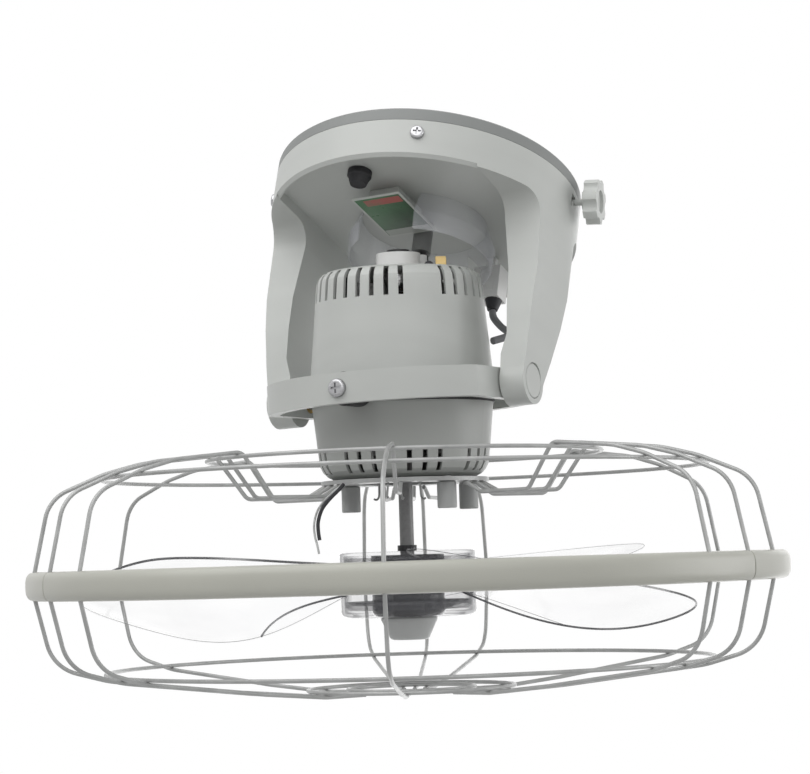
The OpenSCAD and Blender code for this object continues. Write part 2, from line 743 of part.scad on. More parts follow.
// ---- Gear train on the motor's tail ----
// A toothed outline with straight flanks, one tooth centred on +X
function teeth(count, tip, root, tip_part, root_part) = [for (i = [0:count - 1])
    let (pitch = 360 / count)
    for (q = [[-root_part, root], [-tip_part, tip], [tip_part, tip], [root_part, root]])
        let (a = pitch * (i + q[0] / 2)) q[1] * [cos(a), sin(a)]];

// A worm with two rounded threads, which twist to the right up its length
module worm(h, lead) {
    sides = 16;
    linear_extrude(height = h, twist = -360 * h / lead, slices = ceil(h / lead * 16), segments = sides)
        polygon([for (i = [0:sides - 1]) let (a = 360 * i / sides)
            (worm_mean_r + worm_wave * cos(2 * a)) * [cos(a), sin(a)]]);
}

module gear_plate() color(grey_metal) at_head() {
    post_t = 3;
    post_h = cross_z + 4 - gear_plate_z - gear_plate_t;
    difference() {
        union() {
            tube_ring(gear_plate_z, gear_plate_t, gear_plate_r, shaft_r + 1);
            for (y = [-post_in_y - post_t, post_in_y, idler_y + reduction_h / 2 + 1])
                translate([cross_offset - cross_post_w / 2, y, gear_plate_z + gear_plate_t - 0.5])
                    cube([cross_post_w, post_t, post_h]);
            translate([idler_x, idler_y, gear_plate_z]) cylinder(h = 6, r = idler_r + 2.5);
            for (a = [200, 290]) rotate([0, 0, a]) translate([pillar_ring_r, 0, gear_plate_z + 1])
                cylinder(h = cover_top_z - cover_wall - gear_plate_z - 1 - seat_gap, r = pillar_r);
        }
        translate([cross_offset, 0, cross_z]) y_bar(-20, 50, cross_r + run_gap);
        translate([idler_x, idler_y, gear_plate_z - 1]) cylinder(h = 10, r = idler_r + run_gap);
    }
}

module gear_case() color(white) at_head() {
    floor_z = cover_top_z - cover_wall;
    rim_h = 1.1;
    difference() {
        union() {
            translate([0, 0, floor_z - seat_gap - rim_h]) linear_extrude(height = rim_h) case_plan(2);
            translate([0, 0, floor_z - seat_gap - 1])
                linear_extrude(height = case_top - floor_z + seat_gap + 1) case_plan(0);
        }
        translate([0, 0, floor_z + case_wall]) linear_extrude(height = case_top - floor_z - 2 * case_wall)
            case_plan(-case_wall);
        translate([0, 0, floor_z - 3]) cylinder(h = case_top - floor_z + 6, r = crank_shaft_r + run_gap);
        translate([idler_x, idler_y, floor_z - 3]) cylinder(h = 3 + 2 * case_wall, r = idler_r + run_gap);
    }
}

module worm_wheel() color(brass) at_head() translate([cross_offset, 0, cross_z]) {
    translate([0, -wheel_w / 2, 0]) rotate([-90, 0, 0]) difference() {
        linear_extrude(height = wheel_w) rotate(180 / wheel_teeth) polygon(
            teeth(wheel_teeth, wheel_tip_r, wheel_tip_r - 1.7, 0.2, 0.62));
        translate([0, 0, -1]) cylinder(h = wheel_w + 2, r = cross_r + run_gap / 3);
    }
}

module cross_shaft() color(steel) at_head() translate([cross_offset, 0, cross_z]) {
    y_bar(-post_in_y - 4, idler_y - reduction_h / 2, cross_r);
    y_bar(idler_y + reduction_h / 2, idler_y + reduction_h / 2 + 5, cross_r);
}

module reduction_worm() color(steel) at_head()
    translate([cross_offset, idler_y - reduction_h / 2, cross_z]) rotate([-90, 0, 0])
        rotate([0, 0, 90 - 180 * reduction_h / reduction_lead]) worm(reduction_h, reduction_lead);

module idler_shaft() color(steel) at_head() translate([idler_x, idler_y, gear_plate_z + 0.5])
    cylinder(h = spur_z + spur_h - gear_plate_z, r = idler_r);

module idler_gear() color(brass) at_head() translate([idler_x, idler_y, cross_z - 1.5]) difference() {
    linear_extrude(height = 3) polygon(teeth(idler_teeth, idler_tip_r, idler_tip_r - 1.7, 0.2, 0.6));
    translate([0, 0, -1]) cylinder(h = 5, r = idler_r + run_gap / 3);
}

// The spur pair: a tooth of the pinion stands in a gap of the crank gear on the line of centres
module idler_pinion() color(brass) at_head() translate([idler_x, idler_y, spur_z]) difference() {
    linear_extrude(height = spur_h) rotate(idler_angle + 180) polygon(teeth(
        pinion_teeth, pinion_pitch_r + addendum, pinion_pitch_r - gear_module, 0.2, 0.55));
    translate([0, 0, -1]) cylinder(h = spur_h + 2, r = idler_r + run_gap / 3);
}

module crank_gear() color(white) at_head() translate([0, 0, spur_z]) difference() {
    linear_extrude(height = spur_h) rotate(idler_angle + 180 / crank_teeth) polygon(teeth(
        crank_teeth, crank_pitch_r + addendum, crank_pitch_r - gear_module, 0.2, 0.55));
    translate([0, 0, -1]) cylinder(h = spur_h + 2, r = crank_shaft_r + run_gap / 3);
}

module crank_shaft() color(steel) at_head() {
    foot_z = cover_top_z - cover_wall - 1.4;
    translate([0, 0, foot_z]) cylinder(h = arm_z - foot_z, r = crank_shaft_r);
}

module crank_arm() color(black) at_head()
    rotate([0, 0, crank_angle]) translate([0, 0, arm_z]) difference() {
        union() {
            cylinder(h = crank_t, r = 7);
            translate([0, -crank_end_r, 0]) cube([crank_r, 2 * crank_end_r, crank_t]);
            translate([crank_r, 0, 0]) cylinder(h = crank_t, r = crank_end_r);
        }
        translate([crank_r, 0, ball_z - arm_z]) sphere(r = ball_r + run_gap / 3);
    }

module crank_ball() color(black) at_head() rotate([0, 0, crank_angle])
    translate([crank_r, 0, ball_z]) sphere(r = ball_r);

// A small amber terminal on the cover's top, below the crank's sweep
module tail_terminal() color(amber) at_head()
    translate([28.3, 1, cover_top_z + 0.1]) rotate([0, 0, 27]) translate([-3, -3, 0]) difference() {
        cube([6, 6, 3.4]);
        translate([2, -1, 1.4]) cube([2, 8, 3]);
    }

module capacitor() color(white) at_head() rotate([0, 0, 215])
    translate([10, -12, gear_plate_z + gear_plate_t]) cube([16, 24, 20]);

// ---- Rotor ----
module rotor_core() color(steel) at_head()
    tube_ring(stator_bottom, stator_h, stator_bore_r - 0.3, shaft_r + run_gap / 3);

module rotor_shaft() color(steel) at_head() translate([0, 0, -hub_low - 2])
    cylinder(h = hub_low + 2 + cross_z - drive_worm_h / 2, r = shaft_r);

module drive_worm() color(steel) at_head() translate([0, 0, cross_z - drive_worm_h / 2])
    rotate([0, 0, -180 * drive_worm_h / drive_lead]) worm(drive_worm_h, drive_lead);

module shaft_collar() color(black) at_head()
    tube_ring(-hub_top + seat_gap, collar_h, collar_r, shaft_r + run_gap / 3);

// The hub is a drum, open below, with a rolled lower edge, and a sleeve round its boss
module blade_hub() color(clear) at_head() rotate_extrude() polygon(concat(
    [[shaft_r + run_gap / 3, -hub_top], [hub_r - 2, -hub_top], [hub_r, -hub_top - 2]],
    arc(hub_r - hub_edge, hub_edge - hub_low, hub_edge, 0, -90, 4),
    [[hub_r - hub_edge - 3, -hub_low], [hub_r - hub_edge - 3, hub_wall - hub_low]],
    arc(hub_r - hub_edge, hub_edge - hub_low, hub_edge - hub_wall, -90, 0, 4),
    [[hub_r - hub_wall, -hub_top - hub_wall], [hub_sleeve_r, -hub_top - hub_wall],
     [hub_sleeve_r, -hub_low], [hub_sleeve_r - hub_wall, -hub_low],
     [hub_sleeve_r - hub_wall, -hub_top - hub_wall], [hub_boss_r, -hub_top - hub_wall],
     [hub_boss_r, -hub_low], [shaft_r + run_gap / 3, -hub_low]]));

// A blade's skin: s runs 0 to 1 from root to tip, c runs -1 to 1 from its high to its low edge
function blade_half(s) = (21 + 12 * sin(140 * s)) * sqrt(1 - pow(0.965 * s, 24));
function blade_rise(s) = 9 + 15 * sin(150 * s);
function blade_mid(s) = -blade_drop - 9 * sin(180 * s);
function blade_point(s, c, up) =
    let (r = blade_root_r + (blade_r - blade_root_r) * s, a = blade_half(s) * c)
    [r * cos(a), r * sin(a), blade_mid(s) - blade_rise(s) * c - 3 * s * (1 - c * c) + up * blade_t / 2];

module blade() {
    row = blade_cols + 1;
    layer = (blade_rows + 1) * row;
    pts = [for (up = [1, -1], i = [0:blade_rows], j = [0:blade_cols])
        blade_point(i / blade_rows, 2 * j / blade_cols - 1, up)];
    skins = [for (i = [0:blade_rows - 1], j = [0:blade_cols - 1])
        let (a = i * row + j, b = a + 1, c = a + row + 1, d = a + row)
        each [[a, b, c], [a, c, d],
              [b + layer, a + layer, c + layer], [c + layer, a + layer, d + layer]]];
    rims = [for (i = [0:blade_rows - 1]) let (a = i * row, b = a + row, e = blade_cols)
        each [[a, b, b + layer], [a, b + layer, a + layer],
              [b + e, a + e, a + e + layer], [b + e, a + e + layer, b + e + layer]]];
    caps = [for (j = [0:blade_cols - 1]) let (a = j, b = j + 1, f = blade_rows * row)
        each [[b, a, a + layer], [b, a + layer, b + layer],
              [a + f, b + f, b + f + layer], [a + f, b + f + layer, a + f + layer]]];
    polyhedron(points = pts, faces = concat(skins, rims, caps));
}

module fan_blades() color(clear) at_head()
    for (i = [0:blade_count - 1]) rotate([0, 0, blade_angle + 360 * i / blade_count]) blade();

module spinner() color(plastic_dark) at_head() difference() {
    rotate_extrude() polygon(concat(
        [[0, -hub_low - seat_gap], [spinner_r, -hub_low - seat_gap], [spinner_r, -hub_low - 2]],
        backwards(arc(spinner_r - 7.5, 3 - hub_low - spinner_h, 3, -90, -10, 4)),
        [[0, -hub_low - spinner_h]]));
    translate([0, 0, -hub_low - 2.4]) cylinder(h = 4, r = shaft_r + run_gap);
}

// ---- Guard ----
module guard_plate() color(wire_grey) at_head() difference() {
    tube_ring(-cover_low_z - seat_gap - guard_plate_t, guard_plate_t, guard_plate_r, 28);
    each_angle(nut_angles) translate([nut_ring_r, 0, -cover_low_z - 6])
        cylinder(h = 8, r = nut_r / 2 + run_gap, $fn = 32);
}

module guard_nuts() color(plastic_dark) at_head() each_angle(nut_angles)
    translate([nut_ring_r, 0, -cover_low_z - seat_gap - guard_plate_t]) {
        translate([0, 0, -16]) cylinder(h = 15.8, r = nut_r);
        translate([0, 0, -1]) cylinder(h = 4.5, r = nut_r / 2, $fn = 32);
    }

module upper_wires() color(wire_grey) at_head() each_angle(wire_angles) guard_wire(upper_wire_line);

module upper_large_ring() color(wire_grey) at_head()
    wire_ring(upper_wire_line, large_ring_r, -1);

module shoulder_ring() color(wire_grey) at_head()
    wire_ring(upper_wire_line, shoulder_ring_r, -1);

module lower_wires() color(wire_grey) at_head() each_angle(wire_angles) guard_wire(lower_wire_line);

module lower_large_ring() color(wire_grey) at_head()
    wire_ring(lower_wire_line, large_ring_r, 1);

module lower_small_rings() color(wire_grey) at_head() {
    wire_ring(lower_wire_line, middle_ring_r, 1);
    wire_ring(lower_wire_line, small_ring_r, 1);
}

// One of the band's three pieces, with an outward-rounded face. They meet at the middle
// wire of each group
module band_piece(from_angle, to_angle) {
    gap_angle = 0.1;
    difference() {
        rotate([0, 0, from_angle + gap_angle])
            rotate_extrude(angle = to_angle - from_angle - 2 * gap_angle) polygon(concat(
                [[band_in_r, -band_h / 2], [band_r - 4, -band_h / 2]],
                arc(band_r - 4, 4 - band_h / 2, 4, -90, 0, 4),
                arc(band_r - 4, band_h / 2 - 4, 4, 0, 90, 4), [[band_in_r, band_h / 2]]));
        each_angle([from_angle + clip_angle / 4, to_angle - clip_angle / 4])
            x_bar(band_in_r - 1, band_in_r + 4.2, clip_pin_r + run_gap);
    }
}

module band_front() color(cream) at_head() translate([0, 0, -band_drop])
    band_piece(guard_group_angles[0], guard_group_angles[1]);

module band_right() color(cream) at_head() translate([0, 0, -band_drop])
    band_piece(guard_group_angles[1], guard_group_angles[2]);

module band_left() color(cream) at_head() translate([0, 0, -band_drop])
    band_piece(guard_group_angles[2], guard_group_angles[0] + 360);

// A plate inside each joint of the band, with a pin into either piece
module band_clips() color(plastic) at_head() translate([0, 0, -band_drop])
    each_angle(guard_group_angles) {
        rotate([0, 0, -clip_angle / 2]) rotate_extrude(angle = clip_angle)
            translate([band_in_r - clip_t - seat_gap, -clip_h / 2]) square([clip_t, clip_h]);
        each_angle([-clip_angle / 4, clip_angle / 4])
            x_bar(band_in_r - seat_gap - 0.5, band_in_r + 4, clip_pin_r);
    }

// ---- Leads ----
module strain_relief() color(black) translate(relief_top) mirror([0, 0, 1])
    cylinder(h = relief_h, r1 = 5.5, r2 = 3.3);

module supply_lead() color(plastic_dark) tube(lead_line, lead_d, 8, [0, 1, 0]);

module safety_lead() color(black) at_head() tube(safety_line, safety_d, 8, [1, 0, 0]);

ceiling_plate();
base_housing();
housing_screws();
terminal_box();
rating_label();
cable_clamp();
dust_boot();
lead_connector();
strain_relief();
supply_lead();
orbit_post();
pivot_pins();
pivot_caps();
lock_knob();
gimbal_ring();
ring_bushes();
pivot_screws();
motor_frame();
stator_core();
stator_windings();
upper_bracket();
lower_bracket();
shaft_bearings();
through_bolts();
upper_cover();
lower_cover();
gear_plate();
gear_case();
tail_terminal();
capacitor();
safety_lead();
guard_plate();
guard_nuts();
upper_wires();
upper_large_ring();
shoulder_ring();
band_front();
band_right();
band_left();
band_clips();
lower_wires();
lower_large_ring();
lower_small_rings();
rotor_core();
rotor_shaft();
drive_worm();
shaft_collar();
blade_hub();
fan_blades();
spinner();
worm_wheel();
cross_shaft();
reduction_worm();
idler_shaft();
idler_gear();
idler_pinion();
crank_gear();
crank_shaft();
crank_arm();
crank_ball();
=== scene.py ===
"""An orbital ceiling fan, dressed for rendering.

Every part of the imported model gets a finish, and the guard's wires, the band, the hub, the
blades and the mouldings are made again, smoother, in their own places."""

import json
import math

import bmesh
import bpy
from bpy.props import FloatProperty, FloatVectorProperty, PointerProperty
from mathutils import Matrix, Vector

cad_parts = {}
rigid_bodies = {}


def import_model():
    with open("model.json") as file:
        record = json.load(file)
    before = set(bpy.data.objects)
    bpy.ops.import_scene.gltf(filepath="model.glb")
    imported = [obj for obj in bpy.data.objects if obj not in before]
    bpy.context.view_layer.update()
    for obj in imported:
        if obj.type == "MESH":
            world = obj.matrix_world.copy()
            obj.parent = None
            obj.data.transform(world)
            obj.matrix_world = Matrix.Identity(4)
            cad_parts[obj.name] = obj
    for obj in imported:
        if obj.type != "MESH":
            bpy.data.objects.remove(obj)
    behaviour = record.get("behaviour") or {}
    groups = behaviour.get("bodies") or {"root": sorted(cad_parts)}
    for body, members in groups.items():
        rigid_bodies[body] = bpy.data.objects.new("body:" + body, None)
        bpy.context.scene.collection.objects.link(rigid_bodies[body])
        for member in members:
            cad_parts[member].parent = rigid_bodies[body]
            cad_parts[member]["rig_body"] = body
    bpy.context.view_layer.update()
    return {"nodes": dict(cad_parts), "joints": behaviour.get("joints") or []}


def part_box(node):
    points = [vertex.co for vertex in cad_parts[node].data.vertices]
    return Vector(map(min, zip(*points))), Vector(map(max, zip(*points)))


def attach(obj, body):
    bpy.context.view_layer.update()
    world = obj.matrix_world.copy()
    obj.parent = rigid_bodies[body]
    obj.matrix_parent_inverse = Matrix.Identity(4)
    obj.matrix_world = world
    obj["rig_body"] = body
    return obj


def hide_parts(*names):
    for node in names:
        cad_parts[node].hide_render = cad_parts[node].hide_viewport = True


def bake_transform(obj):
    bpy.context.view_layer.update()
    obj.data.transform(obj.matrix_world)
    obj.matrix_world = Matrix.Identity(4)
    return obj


bl_info = {
    "name": "Orbital ceiling fan",
    "version": (1, 0, 0),
    "blender": (4, 5, 0),
    "location": "3D View > Sidebar > Fan",
    "description": "Dresses an orbital ceiling fan's parts with finishes and smooth mouldings",
    "category": "Object",
}

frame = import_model()

# ---- The frame's own places ----
JOINTS = {joint["name"]: joint for joint in frame["joints"]}
GIMBAL = Vector(JOINTS["ring_tilt"]["pos_m"])
HEAD_UP = Vector(JOINTS["rotor_spin"]["axis"])
HEAD_SIDE = Vector(JOINTS["head_tilt"]["axis"])
HEAD_TURN = Matrix((HEAD_SIDE.cross(HEAD_UP), HEAD_SIDE, HEAD_UP)).transposed().to_4x4()
AT_HEAD = Matrix.Translation(GIMBAL) @ HEAD_TURN
MM = 0.001

# The part of a noise's range that most of its values lie in
CLOUD_RANGE = (0.3, 0.7)


# ---- Shader writing ----
class Value:
    """A shader socket that can be used in Python sums."""

    def __init__(self, tree, socket):
        self.tree = tree
        self.socket = socket

    def _math(self, operation, first, second):
        return self.tree.node("ShaderNodeMath", {"operation": operation}, {0: first, 1: second})

    def __add__(self, other):
        return self._math("ADD", self, other)

    def __radd__(self, other):
        return self._math("ADD", other, self)

    def __sub__(self, other):
        return self._math("SUBTRACT", self, other)

    def __rsub__(self, other):
        return self._math("SUBTRACT", other, self)

    def __mul__(self, other):
        return self._math("MULTIPLY", self, other)

    def __rmul__(self, other):
        return self._math("MULTIPLY", other, self)

    def __gt__(self, other):
        return self._math("GREATER_THAN", self, other)

    def __lt__(self, other):
        return self._math("LESS_THAN", self, other)

    def absolute(self):
        return self._math("ABSOLUTE", self, 0.0)

    def larger(self, other):
        return self._math("MAXIMUM", self, other)


class Shader:
    """Short calls for the nodes of a material or a world."""

    def __init__(self, node_tree):
        self.nodes = node_tree.nodes
        self.links = node_tree.links

    def put(self, socket, value):
        """Links a value to the socket, or sets it there; a colour may leave out its alpha."""
        if isinstance(value, Value):
            self.links.new(value.socket, socket)
        elif hasattr(socket.default_value, "__len__") and hasattr(value, "__len__"):
            socket.default_value = (*value, 1.0)[:len(socket.default_value)]
        else:
            socket.default_value = value

    def node(self, kind, settings=None, inputs=None, out=0):
        """A new node of a kind, its settings first and then its sockets; gives one output."""
        made = self.nodes.new(kind)
        for key, value in (settings or {}).items():
            setattr(made, key, value)
        for key, value in (inputs or {}).items():
            self.put(made.inputs[key], value)
        return Value(self, made.outputs[out])

    def spread(self, value, low, high, to_low=0.0, to_high=1.0):
        """Turns the range from low to high into the range from to_low to to_high."""
        return self.node(
            "ShaderNodeMapRange", inputs={0: value, 1: low, 2: high, 3: to_low, 4: to_high}
        )

    def viewed(self):
        """One for the rays that show the backdrop, and nothing for those that light the fan."""
        camera, glossy, through = (
            self.node("ShaderNodeLightPath", out=name)
            for name in ("Is Camera Ray", "Is Glossy Ray", "Is Transmission Ray")
        )
        return camera.larger(glossy).larger(through)


class Finish(Shader):
    """A new material with a Principled surface, and its textures."""

    def __init__(self, name):
        self.material = bpy.data.materials.new(name)
        self.material.use_nodes = True
        super().__init__(self.material.node_tree)
        self.surface = self.nodes["Principled BSDF"]
        self.place = self.node("ShaderNodeTexCoord", out="Object")

    def noise(self, scale, detail=2.0, place=None):
        inputs = {"Vector": place or self.place, "Scale": scale, "Detail": detail, "Roughness": 0.5}
        return self.node("ShaderNodeTexNoise", inputs=inputs)

    def stretched(self, scale):
        return self.node("ShaderNodeMapping", inputs={"Vector": self.place, "Scale": scale})

    def apart(self, vector):
        """The X and Y of a vector."""
        return [self.node("ShaderNodeSeparateXYZ", inputs={0: vector}, out=out) for out in (0, 1)]

    def cloudy(self, cloud, low=0.0, high=1.0):
        """From low to high with a noise."""
        return self.spread(cloud, *CLOUD_RANGE, low, high)

    def blend(self, share, first, second):
        inputs = {0: share, 6: first, 7: second}
        return self.node("ShaderNodeMix", {"data_type": "RGBA"}, inputs, out=2)

    def mottled(self, cloud, colour, darkest, palest):
        """The colour, darker and paler with a noise."""
        return self.blend(self.cloudy(cloud), shade(colour, darkest), shade(colour, palest))

    def bump(self, height, distance):
        return self.node(
            "ShaderNodeBump", inputs={"Height": height, "Distance": distance, "Strength": 1.0}
        )

    def set(self, **surface):
        for socket, value in surface.items():
            self.put(self.surface.inputs[socket.replace("_", " ")], value)


def shade(colour, factor):
    return tuple(min(1.0, part * factor) for part in colour[:3])


def moulded_plastic(name, colour, roughness=0.42):
    """Moulded plastic: a fine spark texture, faint flow marks and a slightly uneven gloss."""
    spark_depth, mottle = 0.00004, 0.05
    finish = Finish(name)
    cloud = finish.noise(9.0, 3.0)
    flow = finish.noise(4.0, place=finish.stretched((1.0, 1.0, 14.0)))
    spark = finish.noise(1400.0, 1.0)
    tone = finish.spread(cloud * 0.6 + flow * 0.4, 0.35, 0.65)
    finish.set(
        Base_Color=finish.blend(tone, shade(colour, 1.0 - mottle), shade(colour, 1.0 + mottle)),
        Roughness=finish.cloudy(cloud, roughness - 0.05, roughness + 0.06),
        Normal=finish.bump(spark, spark_depth),
        Specular_IOR_Level=0.45,
    )
    return finish.material


def coated_wire(name, colour):
    """Steel wire under a thin grey coat: faint marks, small pits and a soft gloss."""
    finish = Finish(name)
    drawn = finish.noise(60.0, 3.0)
    pits = finish.noise(900.0)
    finish.set(
        Base_Color=finish.mottled(drawn, colour, 0.86, 1.1),
        Roughness=finish.cloudy(pits, 0.3, 0.46),
        Metallic=0.25,
        Normal=finish.bump(pits, 0.00003),
    )
    return finish.material


def turned_steel(name, colour, roughness=0.28):
    """Bright metal with the fine rings that a lathe leaves."""
    finish = Finish(name)
    rings = finish.noise(240.0, place=finish.stretched((0.25, 0.25, 4.0)))
    finish.set(
        Base_Color=finish.mottled(rings, colour, 0.82, 1.12),
        Roughness=finish.cloudy(rings, roughness - 0.06, roughness + 0.12),
        Metallic=1.0,
        Normal=finish.bump(rings, 0.00003),
    )
    return finish.material


def cast_metal(name, colour, grain=0.0001):
    """Dull metal with an uneven skin."""
    finish = Finish(name)
    skin = finish.noise(420.0, 4.0)
    finish.set(
        Base_Color=finish.mottled(skin, colour, 0.85, 1.1),
        Roughness=finish.cloudy(skin, 0.45, 0.62),
        Metallic=0.6,
        Normal=finish.bump(skin, grain),
    )
    return finish.material


def laminations(name, colour):
    """Stacked sheets: fine lines across the part."""
    sheet = 0.0008
    waves_per_metre = 0.314
    finish = Finish(name)
    line = finish.node(
        "ShaderNodeTexWave",
        {"wave_type": "BANDS", "bands_direction": "Z"},
        {"Vector": finish.place, "Scale": waves_per_metre / sheet, "Distortion": 0.4},
    )
    finish.set(
        Base_Color=finish.blend(line, shade(colour, 0.6), shade(colour, 1.15)),
        Roughness=finish.spread(line, 0.0, 1.0, 0.5, 0.32),
        Metallic=0.9,
        Normal=finish.bump(line, 0.0001),
    )
    return finish.material


def soft_rubber(name, colour):
    """Matt rubber with a faint pale bloom."""
    finish = Finish(name)
    bloom = finish.noise(120.0, 3.0)
    finish.set(
        Base_Color=finish.blend(finish.spread(bloom, 0.35, 0.7), colour, shade(colour, 1.9)),
        Roughness=finish.cloudy(bloom, 0.5, 0.72),
        Normal=finish.bump(finish.noise(1500.0, 1.0), 0.00003),
    )
    return finish.material


def clear_moulding(name, tint, painted_edge_tint, seen, edge, turn_from=0.5):
    """Clear moulded plastic: hardly seen face on, and darker where its wall turns away, as a
    painted reflection.
    """
    turned_away, haze_share, roughness = 0.97, 0.03, 0.05
    finish = Finish(name)
    facing = finish.node("ShaderNodeLayerWeight", inputs={"Blend": 0.5}, out="Facing")
    haze = finish.noise(26.0)
    turned = finish.spread(facing, turn_from, turned_away)
    finish.set(
        Base_Color=finish.blend(turned, tint, painted_edge_tint),
        Roughness=finish.cloudy(haze, roughness, roughness + 0.05),
        Alpha=finish.spread(turned, 0.0, 1.0, seen, edge)
        + finish.cloudy(haze, -haze_share, haze_share),
        Normal=finish.bump(haze, 0.0002),
    )
    return finish.material


def printed_label(name, colours, place, turn, size):
    """A printed panel with a pale border, a red bar and a pale strip: it holds no words.

    Across and along run from -1 to 1 over the panel."""
    finish = Finish(name)
    across, along = finish.apart(
        finish.node("ShaderNodeMapping", {"vector_type": "TEXTURE"},
                    {"Vector": finish.place, "Location": place, "Rotation": turn, "Scale": size})
    )
    cloud = finish.noise(90.0, 4.0)
    border = across.absolute().larger(along.absolute() * 1.02 - 0.02) > 0.92
    bar = (along < -0.56) * (along > -0.84) * (across > -0.62) * (across < 0.86)
    strip = (along > 0.66) * (across.absolute() < 0.9)
    line = (along > 0.60) * (along < 0.65)
    slope = finish.spread(across * 0.5 + along * 0.5 + cloud * 0.8, 0.1, 0.9)
    worn_bar = bar * finish.spread(cloud, 0.35, 0.55, 0.45, 0.9)
    colour = finish.blend(slope, colours["light"], colours["deep"])
    colour = finish.blend(worn_bar, colour, colours["bar"])
    colour = finish.blend(strip * 0.8, colour, colours["border"])
    colour = finish.blend(line * 0.6, colour, colours["deep"])
    finish.set(
        Base_Color=finish.blend(border, colour, colours["border"]),
        Roughness=finish.cloudy(cloud, 0.25, 0.4),
    )
    return finish.material


# ---- Sizes and colours that a user may change ----
def colour_value(name, description, default):
    return FloatVectorProperty(
        name=name, description=description, default=default,
        subtype="COLOR", size=3, min=0.0, max=1.0,
    )


def length_value(name, description, default):
    return FloatProperty(
        name=name, description=description, default=default, subtype="DISTANCE", unit="LENGTH"
    )


def angle_value(name, description, degrees):
    return FloatProperty(
        name=name, description=description, default=math.radians(degrees),
        subtype="ANGLE", unit="ROTATION",
    )


class FanColours(bpy.types.PropertyGroup):
    housing: colour_value("Housing", "Light grey of the base and covers", (0.52, 0.535, 0.515))
    plate: colour_value("Plate", "Grey of the ceiling plate", (0.24, 0.25, 0.245))
    band: colour_value("Band", "Cream grey of the guard's band", (0.47, 0.47, 0.42))
    wire: colour_value("Wires", "Grey of the guard's wires", (0.40, 0.405, 0.40))
    trim: colour_value("Trim", "Mid grey of the nuts and the spinner", (0.48, 0.49, 0.485))
    steel: colour_value("Steel", "Screws and pins", (0.42, 0.42, 0.43))
    shaft: colour_value("Shaft", "Dull grey of the motor's shaft", (0.21, 0.21, 0.21))
    casting: colour_value("Castings", "The motor's brackets and plates", (0.05, 0.051, 0.052))
    bronze: colour_value("Bronze", "Bushes and gears", (0.60, 0.42, 0.16))
    copper: colour_value("Copper", "Windings", (0.55, 0.22, 0.07))
    black: colour_value("Black", "Rubber and black plastic", (0.012, 0.012, 0.014))
    white: colour_value("White", "Gear case, connector and capacitor", (0.80, 0.80, 0.79))
    amber: colour_value("Amber", "Small terminal on the motor's tail", (0.57, 0.38, 0.15))
    label_deep: colour_value("Label, deep green", "Green of the panel", (0.005, 0.050, 0.009))
    label_light: colour_value("Label, light green", "Its paler part", (0.045, 0.165, 0.060))
    label_bar: colour_value("Label, bar", "Red bar across the panel", (0.46, 0.08, 0.07))
    label_border: colour_value("Label, border", "Border and strip of the panel", (0.56, 0.58, 0.55))
    clear: colour_value("Clear", "Tint of the clear plastic", (0.78, 0.79, 0.84))
    # Painted reflection: the dark tint that clear plastic takes where it turns away from the view.
    clear_painted_edge: colour_value("Clear, edge", "Tint where it turns away", (0.07, 0.07, 0.08))
    # Painted reflection and shade: the dark given to the hub's sleeve, boss and shelves.
    painted_shade_and_reflection: colour_value("Smoke", "The dark seen in the hub's core", (0.022, 0.022, 0.025))


class FanSizes(bpy.types.PropertyGroup):
    wire: length_value("Wire", "Diameter of the guard's wires", 0.0025)
    housing_edge: length_value("Housing edges", "Rounding of the housing's edges", 0.0022)
    ring_edge: length_value("Ring edges", "Rounding of the gimbal ring's edges", 0.0016)
    small_edge: length_value("Small edges", "Rounding on the small mouldings", 0.0008)
    blade_reach: length_value("Blade reach", "From the shaft to a blade's tip", 0.198)
    blade_sheet: length_value("Blade sheet", "Thickness of a blade", 0.0016)
    blade_rim: length_value("Blade rim", "Thickness of a blade's dark edge", 0.0011)


class FanStage(bpy.types.PropertyGroup):
    azimuth: angle_value("Azimuth", "Way the camera stands round the object", 29.8)
    elevation: angle_value("Elevation", "How far the camera looks from below", -24.67)
    roll: angle_value("Roll", "Turn of the picture about the view", 7.42)
    distance: length_value("Distance", "From the camera to the gimbal", 1.541)
    lens: FloatProperty(
        name="Lens", description="Focal length in mm on a 36 mm wide picture", default=113.25,
        subtype="DISTANCE_CAMERA", unit="CAMERA",
    )
    floor_drop: length_value("Floor", "Depth of the floor below the ceiling", 1.6)


# ---- Making pieces ----
def at_head(x, y, z):
    """A point of the head's own frame, given in millimetres from the gimbal centre."""
    return AT_HEAD @ (Vector((x, y, z)) * MM)


def rounded(corners, steps=10):
    """An outline of (distance, height, bend radius) corners, with its corners rounded."""
    points = [Vector(corners[0][:2])]
    for before, corner, after in zip(corners, corners[1:], corners[2:]):
        middle, radius = Vector(corner[:2]), corner[2]
        back = (Vector(before[:2]) - middle).normalized()
        on = (Vector(after[:2]) - middle).normalized()
        half = back.angle(on) / 2
        centre = middle + (back + on).normalized() * (radius / math.sin(half))
        start = (middle + back * (radius / math.tan(half)) - centre).normalized()
        end = (middle + on * (radius / math.tan(half)) - centre).normalized()
        points += [centre + start.slerp(end, step / steps) * radius for step in range(steps + 1)]
    return points + [Vector(corners[-1][:2])]


def smooth_way(corners, steps=6):
    """Points on one smooth curve through the corners."""
    ends = [corners[0] * 2 - corners[1], *corners, corners[-1] * 2 - corners[-2]]
    way = []
    for a, b, c, d in zip(ends, ends[1:], ends[2:], ends[3:]):
        for step in range(steps):
            t = step / steps
            way.append((b * 2 + (c - a) * t + (a * 2 - b * 5 + c * 4 - d) * t ** 2
                        + (b * 3 - a - c * 3 + d) * t ** 3) / 2)
    return way + [corners[-1]]


